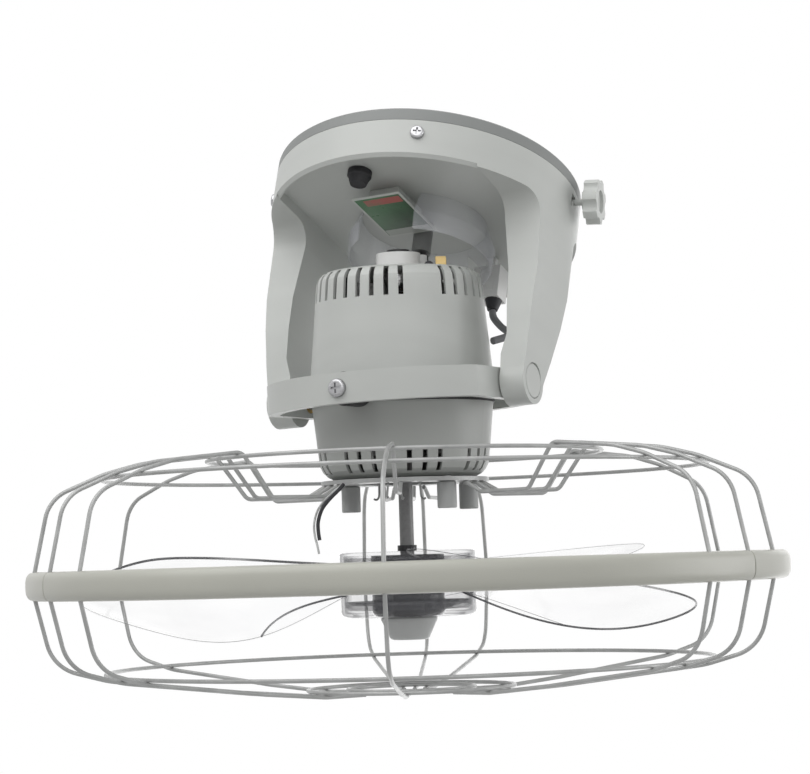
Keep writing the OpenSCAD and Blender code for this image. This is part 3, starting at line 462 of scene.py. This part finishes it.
def wire_piece(name, strands, diameter, closed=False, roundness=3):
    """Round wires bent along the strands' points."""
    curve = bpy.data.curves.new(name, "CURVE")
    curve.dimensions = "3D"
    curve.bevel_depth = diameter / 2
    curve.bevel_resolution = roundness
    curve.use_fill_caps = True
    for strand in strands:
        spline = curve.splines.new("POLY")
        spline.points.add(len(strand) - 1)
        for place, point in zip(spline.points, strand):
            place.co = (*point, 1.0)
        spline.use_cyclic_u = closed
    return bpy.data.objects.new(name, curve)


def ring_of_points(shape, outline):
    """A closed outline of (distance, height) in millimetres, as points and edges to spin."""
    points = [shape.verts.new((distance * MM, 0.0, height * MM)) for distance, height in outline]
    return points + [shape.edges.new(pair) for pair in zip(points, points[1:] + points[:1])]


def turned_piece(name, outlines, steps=96):
    """Closed outlines of (distance, height) in millimetres, turned about the head's axis."""
    mesh = bpy.data.meshes.new(name)
    shape = bmesh.new()
    for outline in outlines:
        bmesh.ops.spin(shape, geom=ring_of_points(shape, outline), cent=(0.0, 0.0, 0.0),
                       axis=(0.0, 0.0, 1.0), angle=2 * math.pi, steps=steps, use_merge=True)
    bmesh.ops.remove_doubles(shape, verts=shape.verts, dist=1e-6)
    bmesh.ops.recalc_face_normals(shape, faces=shape.faces)
    shape.transform(AT_HEAD)
    finish_mesh(shape, mesh)
    return bpy.data.objects.new(name, mesh)


def finish_mesh(shape, mesh, smooth=True):
    for face in shape.faces:
        face.smooth = smooth
    shape.to_mesh(mesh)
    shape.free()


def round_edges(piece, name, width, segments, sharp_from):
    """A bevel on the edges that turn by more than sharp_from degrees."""
    edges = piece.modifiers.new(name, "BEVEL")
    edges.width = width
    edges.segments = segments
    edges.limit_method = "ANGLE"
    edges.angle_limit = math.radians(sharp_from)
    edges.harden_normals = True


def rounded_copy(name, node, width):
    """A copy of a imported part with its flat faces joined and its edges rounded."""
    same_point, same_plane = 2e-6, math.radians(0.6)
    source = frame["nodes"][node]
    mesh = source.data.copy()
    mesh.name = name
    if "custom_normal" in mesh.attributes:
        mesh.attributes.remove(mesh.attributes["custom_normal"])
    shape = bmesh.new()
    shape.from_mesh(mesh)
    bmesh.ops.remove_doubles(shape, verts=shape.verts, dist=same_point)
    bmesh.ops.dissolve_limit(shape, angle_limit=same_plane, verts=shape.verts, edges=shape.edges)
    finish_mesh(shape, mesh)
    piece = bpy.data.objects.new(name, mesh)
    round_edges(piece, "edges", width, 3, 28.0)
    bpy.context.scene.collection.objects.link(piece)
    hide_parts(node)
    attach(piece, source["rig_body"])


def put_in(piece, material, body, slot, *nodes):
    """Puts a piece in the scene in place of the nodes; it rides on the body, if one is given."""
    piece.data.materials.append(material)
    bpy.context.scene.collection.objects.link(piece)
    if nodes:
        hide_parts(*nodes)
    if body:
        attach(piece, body)
    return piece


def dress(material, *nodes):
    """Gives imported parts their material."""
    for name in nodes:
        mesh = frame["nodes"][name].data
        mesh.materials.clear()
        mesh.materials.append(material)


# ---- Operators ----
class FanOperator(bpy.types.Operator):
    """One step of the dressing, which can be undone."""

    bl_options = {"REGISTER", "UNDO"}


class FAN_OT_finish_parts(FanOperator):
    """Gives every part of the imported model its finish."""

    bl_idname = "fan.finish_parts"
    bl_label = "Finish the parts"

    LABEL_TURN = -2.0
    LABEL_HALF_SIZE = (0.01675, 0.0245, 1.0)

    def execute(self, context):
        c = context.scene.fan_colours
        self.plastics(c)
        self.metals(c)
        self.rubber_and_clear(c)
        return {"FINISHED"}

    def plastics(self, c):
        dress(moulded_plastic("moulded_grey", c.housing), "base_housing", "pivot_caps",
              "gimbal_ring", "upper_cover", "terminal_box", "band_clips")
        # Painted shade: the lower cover is the housing grey darkened, for the shade that falls
        # under the gimbal ring.
        dress(moulded_plastic("moulded_grey_painted_shade", shade(c.housing, 0.71)), "lower_cover")
        dress(moulded_plastic("knob_grey", shade(c.housing, 1.1)), "lock_knob")
        dress(moulded_plastic("painted_plate", c.plate, 0.5), "ceiling_plate")
        dress(moulded_plastic("band_cream", c.band, 0.36), "band_front", "band_left", "band_right")
        dress(moulded_plastic("trim_grey", c.trim, 0.4), "spinner")
        dress(moulded_plastic("nut_grey", shade(c.trim, 0.8), 0.4), "guard_nuts")
        dress(moulded_plastic("post_grey", shade(c.trim, 0.45), 0.4), "orbit_post")
        dress(moulded_plastic("black_plastic", c.black, 0.35), "shaft_collar", "crank_arm",
              "crank_ball")
        dress(moulded_plastic("white_plastic", c.white, 0.3), "gear_case", "lead_connector",
              "capacitor", "crank_gear")
        dress(moulded_plastic("amber_plastic", c.amber, 0.35), "tail_terminal")

    def metals(self, c):
        dress(coated_wire("plate_grey", shade(c.wire, 0.9)), "guard_plate")
        dress(coated_wire("coated_wire", c.wire), "upper_wires", "upper_large_ring",
              "shoulder_ring", "lower_wires", "lower_large_ring", "lower_small_rings")
        dress(turned_steel("turned_steel", c.steel), "housing_screws", "pivot_pins",
              "pivot_screws", "through_bolts", "drive_worm", "cross_shaft", "reduction_worm",
              "idler_shaft", "crank_shaft")
        dress(cast_metal("dull_shaft", c.shaft, 0.00002), "rotor_shaft")
        dress(cast_metal("cast_grey", c.casting), "motor_frame", "upper_bracket",
              "lower_bracket", "gear_plate")
        dress(laminations("laminations", c.steel), "stator_core", "rotor_core")
        dress(turned_steel("bronze", c.bronze, 0.34), "ring_bushes", "shaft_bearings",
              "worm_wheel", "idler_gear", "idler_pinion")
        dress(turned_steel("copper", c.copper, 0.3), "stator_windings")

    def rubber_and_clear(self, c):
        dress(soft_rubber("black_rubber", c.black), "cable_clamp", "strain_relief", "safety_lead")
        dress(soft_rubber("lead_jacket", shade(c.trim, 0.4)), "supply_lead")
        low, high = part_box("rating_label")
        colours = {"deep": c.label_deep, "light": c.label_light, "bar": c.label_bar,
                   "border": c.label_border}
        turn = (0.0, 0.0, math.radians(self.LABEL_TURN))
        dress(printed_label("printed_label", colours, (low + high) / 2, turn,
                            self.LABEL_HALF_SIZE), "rating_label")
        # Painted reflection: the darker tints of the bell's, blades' and hub's walls where they
        # turn away.
        bell_painted_edge = shade(c.clear, 0.7)
        hub_tint = shade(c.clear, 0.45)
        dress(clear_moulding("clear_bell", c.clear, bell_painted_edge, 0.19, 0.5), "dust_boot")
        dress(clear_moulding("clear_blade", c.clear, c.clear_painted_edge, 0.04, 0.07, 0.6), "fan_blades")
        dress(clear_moulding("clear_hub", hub_tint, c.clear_painted_edge, 0.09, 0.8), "blade_hub")


class FAN_OT_mouldings(FanOperator):
    """Rounds the edges of the mouldings."""

    bl_idname = "fan.mouldings"
    bl_label = "Round the mouldings"

    def execute(self, context):
        size = context.scene.fan_sizes
        rounded_copy("housing", "base_housing", size.housing_edge)
        rounded_copy("ring", "gimbal_ring", size.ring_edge)
        rounded_copy("knob", "lock_knob", size.small_edge * 1.6)
        rounded_copy("nuts", "guard_nuts", size.small_edge)
        rounded_copy("nose", "spinner", size.small_edge * 1.5)
        rounded_copy("tail_case", "gear_case", size.small_edge * 0.6)
        rounded_copy("connector", "lead_connector", size.small_edge)
        return {"FINISHED"}


class FAN_OT_guard(FanOperator):
    """Bends the guard's wires and rings, with the small hooks under the plate."""

    bl_idname = "fan.guard"
    bl_label = "Bend the guard"

    # Outlines of (distance, height, bend radius) in millimetres, with heights from the band
    LEVEL = -109.0
    UPPER = ((47.5, 53.65, 0), (50, 53.65, 5), (60.5, 47.65, 5), (97, 47.65, 5), (116, 74, 7),
             (160, 70, 60), (182, 64.3, 60), (214.3, 50.7, 22), (224, 6.5, 0))
    LOWER = ((224, -6.5, 0), (214, -47.2, 24), (182, -56.3, 60), (104, -66, 60),
             (62, -70, 40), (34, -70, 0))
    # Three groups of three wires, and three wires alone between them, in degrees
    GROUPS = (-127.5, -5.0, 114.0)
    SINGLES = (-66.0, 54.0, 174.0)
    STEP = 10.8
    # Rings: name, node, outline, radii, and the side of the wires that they lie on
    RINGS = (
        ("ring_upper_large", "upper_large_ring", UPPER, (182,), -1),
        ("ring_shoulder", "shoulder_ring", UPPER, (119,), -1),
        ("ring_lower_large", "lower_large_ring", LOWER, (182,), 1),
        ("rings_lower_small", "lower_small_rings", LOWER, (62, 38), 1),
    )
    RING_POINTS = 144
    WELD = 0.15
    # Hooks: angle, length, and the way their ends curl
    HOOKS = ((-83.0, 6.0, -1), (-70.0, 7.0, 1), (-46.0, 7.5, 1), (150.0, 6.0, 1))
    HOOK_WIRE = 0.0013

    def execute(self, context):
        self.wire = context.scene.fan_sizes.wire
        self.coat = bpy.data.materials["coated_wire"]
        angles = [a + k * self.STEP for a in self.GROUPS for k in (-1, 0, 1)] + list(self.SINGLES)
        for name, outline, node in (("guard_upper", self.UPPER, "upper_wires"),
                                    ("guard_lower", self.LOWER, "lower_wires")):
            path = rounded(outline)
            strands = [[self.around(angle, *point) for point in path] for angle in angles]
            put_in(wire_piece(name, strands, self.wire), self.coat, "head", "wire_grey", node)
        for ring in self.RINGS:
            self.add_ring(*ring)
        self.add_hooks()
        return {"FINISHED"}

    def add_ring(self, name, node, outline, radii, side):
        path = rounded(outline)
        step = 360 / self.RING_POINTS
        loops = []
        for radius in radii:
            level = self.level(path, radius) + side * (self.wire / MM - self.WELD)
            loops.append([self.around(turn * step, radius, level)
                          for turn in range(self.RING_POINTS)])
        piece = wire_piece(name, loops, self.wire, closed=True)
        put_in(piece, self.coat, "head", "wire_grey", node)

    def add_hooks(self):
        """The wires' bent ends under the guard plate's inner edge."""
        strands = []
        for angle, length, curl in self.HOOKS:
            drop = [(29.5, 54.6), (28.6, 52.0), (28.2, 54.0 - length),
                    (28.2 + curl * 1.6, 52.2 - length), (28.2 + curl * 3.4, 52.6 - length)]
            corners = [self.around(angle + curl * 1.2 * k, *point) for k, point in enumerate(drop)]
            strands.append(smooth_way(corners, 5))
        piece = wire_piece("wire_hooks", strands, self.HOOK_WIRE)
        put_in(piece, self.coat, "head", "wire_grey")

    def around(self, angle, distance, height):
        """A point of the guard, from its angle in degrees, its distance and its height."""
        a = math.radians(angle)
        return at_head(distance * math.cos(a), distance * math.sin(a), height + self.LEVEL)

    def level(self, path, radius):
        """The height of an outline at a distance from the axis."""
        for first, second in zip(path, path[1:]):
            low, high = sorted((first.x, second.x))
            if low <= radius <= high and high > low:
                share = (radius - first.x) / (second.x - first.x)
                return first.y + (second.y - first.y) * share
        raise ValueError("the ring is off its wires")


class FAN_OT_tail(FanOperator):
    """Shapes the amber terminal block and the black cap nut beside the gear case."""

    bl_idname = "fan.tail"
    bl_label = "Shape the tail's small parts"

    # The block's bars in millimetres: place across, width and height
    BARS = ((0.0, 8.6, 3.6), (-2.6, 2.6, 7.4), (2.4, 2.2, 6.0))
    DEPTH = 6.4
    TURN = -62.0
    SEAT = 1.7
    BAR_EDGE = 0.0006
    NUT_PLACE = (19.6, 2.0)
    NUT_RADIUS, NUT_HEIGHT = 2.9, 5.2
    TINY = 0.001

    def execute(self, context):
        low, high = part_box("tail_terminal")
        base = AT_HEAD.inverted() @ ((low + high) / 2) / MM
        foot = base.z - self.SEAT
        mesh = bpy.data.meshes.new("terminal_block")
        shape = bmesh.new()
        for across, width, height in self.BARS:
            bar = bmesh.ops.create_cube(shape, size=1.0)["verts"]
            bmesh.ops.scale(shape, verts=bar, vec=(width * MM, self.DEPTH * MM, height * MM))
            bmesh.ops.translate(shape, verts=bar, vec=(across * MM, 0.0, height / 2 * MM))
        bmesh.ops.bevel(shape, geom=shape.edges, offset=self.BAR_EDGE, segments=2,
                        affect="EDGES", profile=0.5, material=-1)
        turn = Matrix.Rotation(math.radians(self.TURN), 3, "Z")
        bmesh.ops.rotate(shape, verts=shape.verts, matrix=turn)
        bmesh.ops.translate(shape, verts=shape.verts, vec=(base.x * MM, base.y * MM, foot * MM))
        shape.transform(AT_HEAD)
        finish_mesh(shape, mesh, smooth=False)
        block = bpy.data.objects.new("terminal_block", mesh)
        amber = bpy.data.materials["amber_plastic"]
        put_in(block, amber, "head", "amber_plastic", "tail_terminal")
        nut = turned_piece("cap_nut", [self.dome()], 32)
        nut.data.transform(Matrix.Translation(at_head(*self.NUT_PLACE, foot) - at_head(0, 0, 0)))
        put_in(nut, bpy.data.materials["black_plastic"], "head", "black_rubber")
        return {"FINISHED"}

    def dome(self, steps=10):
        """The cap nut's outline: a flange, a wall and a round top."""
        radius = self.NUT_RADIUS
        shoulder = self.NUT_HEIGHT - radius
        turns = [math.pi / 2 * step / steps for step in range(steps + 1)]
        arc = [(radius * math.cos(a) + self.TINY, shoulder + radius * math.sin(a)) for a in turns]
        return [(self.TINY, 0.0), (radius + 0.5, 0.0), (radius + 0.5, 1.0), (radius, 1.2), *arc]


class FAN_OT_band(FanOperator):
    """Turns the guard's band: three rounded lengths that meet at its joints."""

    bl_idname = "fan.band"
    bl_label = "Turn the band"

    INNER, OUTER, HALF = 219.0, 228.0, 8.5
    ROUND_DEPTH = 6.5
    INNER_EDGE = 0.6
    FULLNESS = 2.9
    # Name, start and end in degrees, with half a gap at each end
    LENGTHS = (("front", -127.5, -5.0), ("right", -5.0, 114.0), ("left", 114.0, 232.5))
    GAP = 0.09

    def execute(self, context):
        cream = bpy.data.materials["band_cream"]
        for name, start, end in self.LENGTHS:
            mesh = bpy.data.meshes.new("guard_band_" + name)
            shape = bmesh.new()
            section = ring_of_points(shape, self.section())
            turn = Matrix.Rotation(math.radians(start + self.GAP), 3, "Z")
            bmesh.ops.rotate(shape, verts=shape.verts, cent=(0.0, 0.0, 0.0), matrix=turn)
            bmesh.ops.spin(shape, geom=section, cent=(0.0, 0.0, 0.0), axis=(0.0, 0.0, 1.0),
                           angle=math.radians(end - start - 2 * self.GAP), steps=60)
            bmesh.ops.holes_fill(shape, edges=shape.edges, sides=0)
            bmesh.ops.recalc_face_normals(shape, faces=shape.faces)
            lift = (0.0, 0.0, FAN_OT_guard.LEVEL * MM)
            bmesh.ops.translate(shape, verts=shape.verts, vec=lift)
            shape.transform(AT_HEAD)
            finish_mesh(shape, mesh)
            piece = bpy.data.objects.new("guard_band_" + name, mesh)
            put_in(piece, cream, "head", "band_plastic", "band_" + name)
            round_edges(piece, "ends", 0.0006, 2, 60.0)
        return {"FINISHED"}

    def section(self, steps=20):
        """The band's section: flat inside, and a full round outside."""
        inner, edge, half = self.INNER, self.INNER_EDGE, self.HALF
        middle = self.OUTER - self.ROUND_DEPTH
        points = [(inner, -half + edge), (inner + edge, -half)]
        for step in range(steps + 1):
            a = math.pi * (step / steps - 0.5)
            across = abs(math.cos(a)) ** (2 / self.FULLNESS)
            up = math.copysign(abs(math.sin(a)) ** (2 / self.FULLNESS), a)
            points.append((middle + (self.OUTER - middle) * across, half * up))
        return points + [(inner + edge, half), (inner, half - edge)]


class FAN_OT_hub(FanOperator):
    """Turns the clear hub: its drum with a rolled edge, and the dark sleeve and boss inside,
    painted dark as a reflection of the motor in the clear plastic.
    """

    bl_idname = "fan.hub"
    bl_label = "Turn the hub"

    # Heights and radii in millimetres, from the gimbal centre and the head's axis
    TOP, LOW, OUT = -94.8, -133.8, 41.0
    BORE, WALL, ROLL, FOOT = 4.3, 2.0, 4.0, 7.0
    CLEAR = "clear_plastic"

    def execute(self, context):
        c = context.scene.fan_colours
        clear = bpy.data.materials["clear_hub"]
        # Painted reflection and shade: the sleeve and boss are dark for the motor reflected in the
        # clear hub, and the shelves for the shade inside the drum.
        painted_shade_and_reflection = clear_moulding("sleeve_painted_reflection", shade(c.painted_shade_and_reflection, 0.7), shade(c.painted_shade_and_reflection, 0.1),
                               0.6, 1.0, 0.45)
        core = moulded_plastic("boss_painted_reflection", shade(c.painted_shade_and_reflection, 0.5), 0.5)
        dusk = clear_moulding("shelf_painted_shade", shade(c.painted_shade_and_reflection, 3.0), c.painted_shade_and_reflection, 0.35, 0.75)
        put_in(turned_piece("hub_drum", [self.drum()]), clear, "rotor", self.CLEAR, "blade_hub")
        put_in(turned_piece("hub_sleeve", [self.sleeve()]), painted_shade_and_reflection, "rotor", self.CLEAR)
        put_in(turned_piece("hub_boss", [self.boss()]), core, "rotor", self.CLEAR)
        put_in(turned_piece("hub_shelves", self.shelves()), dusk, "rotor", self.CLEAR)
        return {"FINISHED"}

    def drum(self):
        top, low, out, bore, wall = self.TOP, self.LOW, self.OUT, self.BORE, self.WALL
        foot = out - self.FOOT
        return [(bore, top), (out - 1.2, top), (out - 0.2, top - 0.5), (out, top - 1.4),
                *self.roll(self.ROLL, 0, 90), (foot, low), (foot, low + wall),
                *self.roll(self.ROLL - wall, 90, 0), (out - wall, top - wall), (bore, top - wall)]

    def roll(self, radius, start, end, steps=6):
        """Points round the centre of the drum's rolled edge, between two angles in degrees."""
        turns = [math.radians(start + (end - start) * step / steps) for step in range(steps + 1)]
        across, up = self.OUT - self.ROLL, self.LOW + self.ROLL
        return [(across + radius * math.cos(a), up - radius * math.sin(a)) for a in turns]

    def sleeve(self):
        top, low = self.TOP - 2.2, self.LOW
        return [(20.4, top), (22, top), (22, low + 3), (20.5, low + 0.3), (18.6, low + 0.3),
                (20.4, low + 3)]

    def boss(self):
        top, low = self.TOP - 2.2, self.LOW + 0.2
        return [(self.BORE, top), (9, top), (9.4, low), (self.BORE, low)]

    def shelves(self):
        """A lid under the drum's top, and a shelf with an upturned edge near its foot: dark sheets
        that are painted shade inside the drum.
        """
        top, low, inside, start = self.TOP, self.LOW, self.OUT - 2.4, 22.2
        lid = [(start, top - 5.6), (inside, top - 5.6), (inside, top - 3.4), (start, top - 3.4)]
        shelf = [(start, low + 4.2), (self.OUT - 4.6, low + 4.2), (inside, low + 6.4),
                 (inside, low + 9.4), (self.OUT - 4.0, low + 7.2), (start, low + 7.2)]
        return [lid, shelf]


class FAN_OT_blades(FanOperator):
    """Shapes the three clear blades and their dark edges, whose dark is a painted reflection."""

    bl_idname = "fan.blades"
    bl_label = "Shape the blades"

    # Millimetres and degrees: from root to tip, a blade widens, rises and dips with a sine
    ROOT, DROP = 40.0, 111.0
    FIRST = -30.0
    HALF_ANGLE, WIDER, WIDER_TURN = 21, 12, 140
    RISE, STEEPER, STEEPER_TURN = 9, 15, 150
    DIP, CAMBER = 9, 3
    # Powers: how closely the points crowd at the root, and how square the tip is
    CROWDING, CORNER = 1.7, 24
    # How strongly each edge shows: high edge, low edge and root rib of each blade in turn; the
    # painted dark is thinner on edges that the light washes out
    WEIGHTS = (0.3, 1.15, 0.25, 0.2, 0.25, 0.2, 1.45, 0.25, 1.2)

    def execute(self, context):
        size = context.scene.fan_sizes
        self.reach = size.blade_reach / MM
        mesh = bpy.data.meshes.new("blades_clear")
        shape = bmesh.new()
        rims = []
        for turn in range(3):
            angle = self.FIRST + 120.0 * turn
            made = bmesh.ops.create_grid(shape, x_segments=48, y_segments=20, size=1.0)
            for vert in made["verts"]:
                vert.co = self.place((vert.co.x + 1) / 2, vert.co.y, angle)
            rims += [self.edge(-1.0, angle), self.edge(1.0, angle), self.rib(angle)]
        bmesh.ops.remove_doubles(shape, verts=shape.verts, dist=1e-5)
        finish_mesh(shape, mesh)
        blades = bpy.data.objects.new("blades_clear", mesh)
        sheet = blades.modifiers.new("sheet", "SOLIDIFY")
        sheet.thickness = size.blade_sheet
        sheet.offset = 0.0
        clear = bpy.data.materials["clear_blade"]
        put_in(blades, clear, "rotor", "clear_plastic", "fan_blades")
        piece = wire_piece("blade_edges", rims, size.blade_rim, roundness=1)
        for spline, weight in zip(piece.data.splines, self.WEIGHTS):
            for point in spline.points:
                point.radius = weight
        put_in(piece, self.painted_edge_finish(), "rotor", "clear_plastic")
        return {"FINISHED"}

    def painted_edge_finish(self):
        """The edges' dark is a painted reflection in the clear plastic: dark here, and clear again
        a little further on.
        """
        rim = Finish("blade_edge_painted_reflection")
        streak = rim.noise(11.0, 1.0)
        rim.set(
            Base_Color=rim.blend(streak, (0.015, 0.015, 0.018), (0.09, 0.09, 0.10)),
            Roughness=0.25,
            Alpha=rim.spread(streak, 0.46, 0.6, 1.0, 0.4),
        )
        return rim.material

    def place(self, along, across, angle):
        """A blade's point: along is 0 at the root and 1 at the tip, and across is -1 at the
        high edge and 1 at the low edge."""
        s = 1 - (1 - along) ** self.CROWDING
        lean = across * math.sqrt(max(0.0, 1 - s ** self.CORNER))
        half_angle = self.HALF_ANGLE + self.WIDER * self.wave(self.WIDER_TURN, s)
        turn = math.radians(angle + half_angle * lean)
        rise = self.RISE + self.STEEPER * self.wave(self.STEEPER_TURN, s)
        middle = -self.DROP - self.DIP * self.wave(180, s)
        r = self.ROOT + (self.reach - self.ROOT) * s
        height = middle - rise * lean - self.CAMBER * s * (1 - lean * lean)
        return at_head(r * math.cos(turn), r * math.sin(turn), height)

    def wave(self, degrees, share):
        return math.sin(math.radians(degrees * share))

    def edge(self, side, angle, steps=80):
        return [self.place(step / steps, side, angle) for step in range(steps + 1)]

    def rib(self, angle, steps=24):
        """The moulded rib that runs from the low corner of the root out to the low edge."""
        return [self.place(0.26 * t, 1.0 - 0.36 * math.sin(math.pi * t ** 0.8), angle)
                for t in (step / steps for step in range(steps + 1))]


class FAN_OT_leads(FanOperator):
    """Lays the supply lead and the two thin leads that hang below the motor."""

    bl_idname = "fan.leads"
    bl_label = "Lay the leads"

    # Corners in millimetres: the supply lead's from the ceiling, the thin leads' at the head
    SUPPLY = ((27, 52, -64.3), (28.5, 52.5, -69.5), (35, 51.5, -77), (43, 46, -84), (49, 38, -90),
              (50, 29, -97), (46, 21, -103))
    SAFETY = ((-16, -48.5, -54.5), (-16.9, -51.3, -57), (-19, -54, -60), (-22.5, -56, -64),
              (-26, -57.6, -69), (-28, -58.8, -76), (-28, -59, -82), (-27.4, -58.8, -87))
    PALE = ((-17.5, -47.3, -54.5), (-19.1, -50.6, -57), (-21.6, -53.6, -60), (-25.3, -55.6, -64),
            (-29.2, -57.0, -69.5), (-31.2, -58.0, -77), (-30.8, -58.4, -84), (-29.4, -58.2, -90),
            (-28.6, -57.8, -95))
    # Points on the curve between two corners
    STEPS = 4

    def execute(self, context):
        c = context.scene.fan_colours
        rubber = bpy.data.materials["black_rubber"]
        pale = soft_rubber("pale_jacket", shade(c.wire, 0.9))
        self.lay("black_lead", self.SAFETY, 0.0022, rubber, "black_rubber", "safety_lead")
        self.lay("pale_lead", self.PALE, 0.0014, pale, "wire_grey")
        self.lay_across("supply_cable", self.SUPPLY, 0.0046)
        return {"FINISHED"}

    def lay(self, name, corners, diameter, material, slot, *nodes):
        """A thin lead that hangs from the motor and moves with it."""
        way = smooth_way([at_head(*point) for point in corners], self.STEPS)
        piece = put_in(wire_piece(name, [way], diameter), material, "head", slot, *nodes)
        self.reach(way)

    def lay_across(self, name, corners, diameter):
        """The lead from the base to the motor's cover; it rides on no body."""
        way = smooth_way([Vector(point) * MM for point in corners], self.STEPS)
        curve = wire_piece(name + "_way", [way], diameter)
        mesh = bpy.data.meshes.new_from_object(curve)
        bpy.data.objects.remove(curve)
        piece = bpy.data.objects.new(name, mesh)
        jacket = bpy.data.materials["lead_jacket"]
        put_in(piece, jacket, None, "lead_jacket", "supply_lead")
        self.reach(way)
        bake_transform(piece)

    def reach(self, way):
        """The length along a way."""
        return sum((after - before).length for before, after in zip(way, way[1:]))


class FAN_OT_stage(FanOperator):
    """Sets the camera at the photograph's place, a pale floor and soft studio light."""

    bl_idname = "fan.stage"
    bl_label = "Set the stage"

    # Where the picture's centre lies from the gimbal centre
    AIM = (0.0019, -0.0013, 0.004)
    WHITE = (1.0, 1.0, 1.0)
    FLOOR_COLOUR = (0.85, 0.85, 0.85)
    FLOOR_HALF_SIZE = 25.0
    # How much of the floor's own glow the camera sees, in place of its shading
    FLOOR_GLOW = 0.8
    # The white surroundings, as they light the fan and as they are seen
    DIM, FULL = 0.31, 1.0
    # Lamps: name, place, size and power
    LAMPS = (
        ("key", (-0.35, -1.5, 0.9), 2.2, 28.0),
        ("front", (1.2, -1.6, 0.1), 1.6, 8.0),
        ("rim", (1.3, 0.7, 0.1), 1.0, 7.0),
        ("back", (-0.7, 1.9, 0.3), 1.8, 12.0),
    )

    def execute(self, context):
        s = context.scene.fan_stage
        self.scene = context.scene
        self.add_camera(s)
        self.add_floor(s.floor_drop)
        self.add_lamps()
        self.add_world()
        self.scene.view_settings.view_transform = "Standard"
        return {"FINISHED"}

    def add_camera(self, s):
        aim = GIMBAL + Vector(self.AIM)
        level = math.cos(s.elevation)
        away = Vector((math.sin(s.azimuth) * level, -math.cos(s.azimuth) * level,
                       math.sin(s.elevation)))
        camera = bpy.data.objects.new("camera", bpy.data.cameras.new("camera"))
        camera.data.lens = s.lens
        camera.data.sensor_width = 36.0
        camera.data.clip_end = 20.0
        turn = (-away).to_track_quat("-Z", "Y").to_matrix().to_4x4()
        place = Matrix.Translation(aim + away * s.distance)
        camera.matrix_world = place @ turn @ Matrix.Rotation(s.roll, 4, "Z")
        self.scene.collection.objects.link(camera)
        self.scene.camera = camera

    def add_floor(self, depth):
        mesh = bpy.data.meshes.new("floor")
        shape = bmesh.new()
        bmesh.ops.create_grid(shape, x_segments=1, y_segments=1, size=self.FLOOR_HALF_SIZE)
        bmesh.ops.translate(shape, verts=shape.verts, vec=(0.0, 0.0, -depth))
        finish_mesh(shape, mesh, smooth=False)
        floor = bpy.data.objects.new("floor", mesh)
        self.scene.collection.objects.link(floor)
        finish = Finish("floor")
        finish.set(Base_Color=self.FLOOR_COLOUR, Roughness=0.8)
        shaded = Value(finish, finish.surface.outputs[0])
        glow = finish.node("ShaderNodeEmission", inputs={"Color": self.WHITE, "Strength": 1.0})
        share = finish.viewed() * self.FLOOR_GLOW
        pale = finish.node("ShaderNodeMixShader", inputs={0: share, 1: shaded, 2: glow})
        finish.put(finish.nodes["Material Output"].inputs["Surface"], pale)
        mesh.materials.append(finish.material)

    def add_lamps(self):
        for name, place, size, power in self.LAMPS:
            light = bpy.data.lights.new(name, "AREA")
            light.size = size
            light.energy = power
            lamp = bpy.data.objects.new(name, light)
            lamp.location = place
            turn = (GIMBAL - Vector(place)).to_track_quat("-Z", "Y")
            lamp.rotation_euler = turn.to_euler()
            self.scene.collection.objects.link(lamp)

    def add_world(self):
        world = bpy.data.worlds.new("studio")
        self.scene.world = world
        world.use_nodes = True
        shader = Shader(world.node_tree)
        background = shader.nodes["Background"]
        strength = shader.spread(shader.viewed(), 0.0, 1.0, self.DIM, self.FULL)
        shader.put(background.inputs["Strength"], strength)
        shader.put(background.inputs["Color"], self.WHITE)


class FAN_PT_panel(bpy.types.Panel):
    """The fan's operators."""

    bl_label = "Orbital ceiling fan"
    bl_idname = "FAN_PT_panel"
    bl_space_type = "VIEW_3D"
    bl_region_type = "UI"
    bl_category = "Fan"

    def draw(self, context):
        for operator in OPERATORS:
            self.layout.operator(operator.bl_idname)


OPERATORS = (FAN_OT_stage, FAN_OT_finish_parts, FAN_OT_leads, FAN_OT_mouldings, FAN_OT_guard,
             FAN_OT_band, FAN_OT_tail, FAN_OT_hub, FAN_OT_blades)
CLASSES = (FanColours, FanSizes, FanStage, *OPERATORS, FAN_PT_panel)


def register():
    for cls in CLASSES:
        bpy.utils.register_class(cls)
    bpy.types.Scene.fan_colours = PointerProperty(type=FanColours)
    bpy.types.Scene.fan_sizes = PointerProperty(type=FanSizes)
    bpy.types.Scene.fan_stage = PointerProperty(type=FanStage)


def unregister():
    del bpy.types.Scene.fan_stage
    del bpy.types.Scene.fan_sizes
    del bpy.types.Scene.fan_colours
    for cls in reversed(CLASSES):
        bpy.utils.unregister_class(cls)


def main():
    register()
    for operator in OPERATORS:
        group, name = operator.bl_idname.split(".")
        getattr(getattr(bpy.ops, group), name)()


if __name__ == "__main__":
    main()
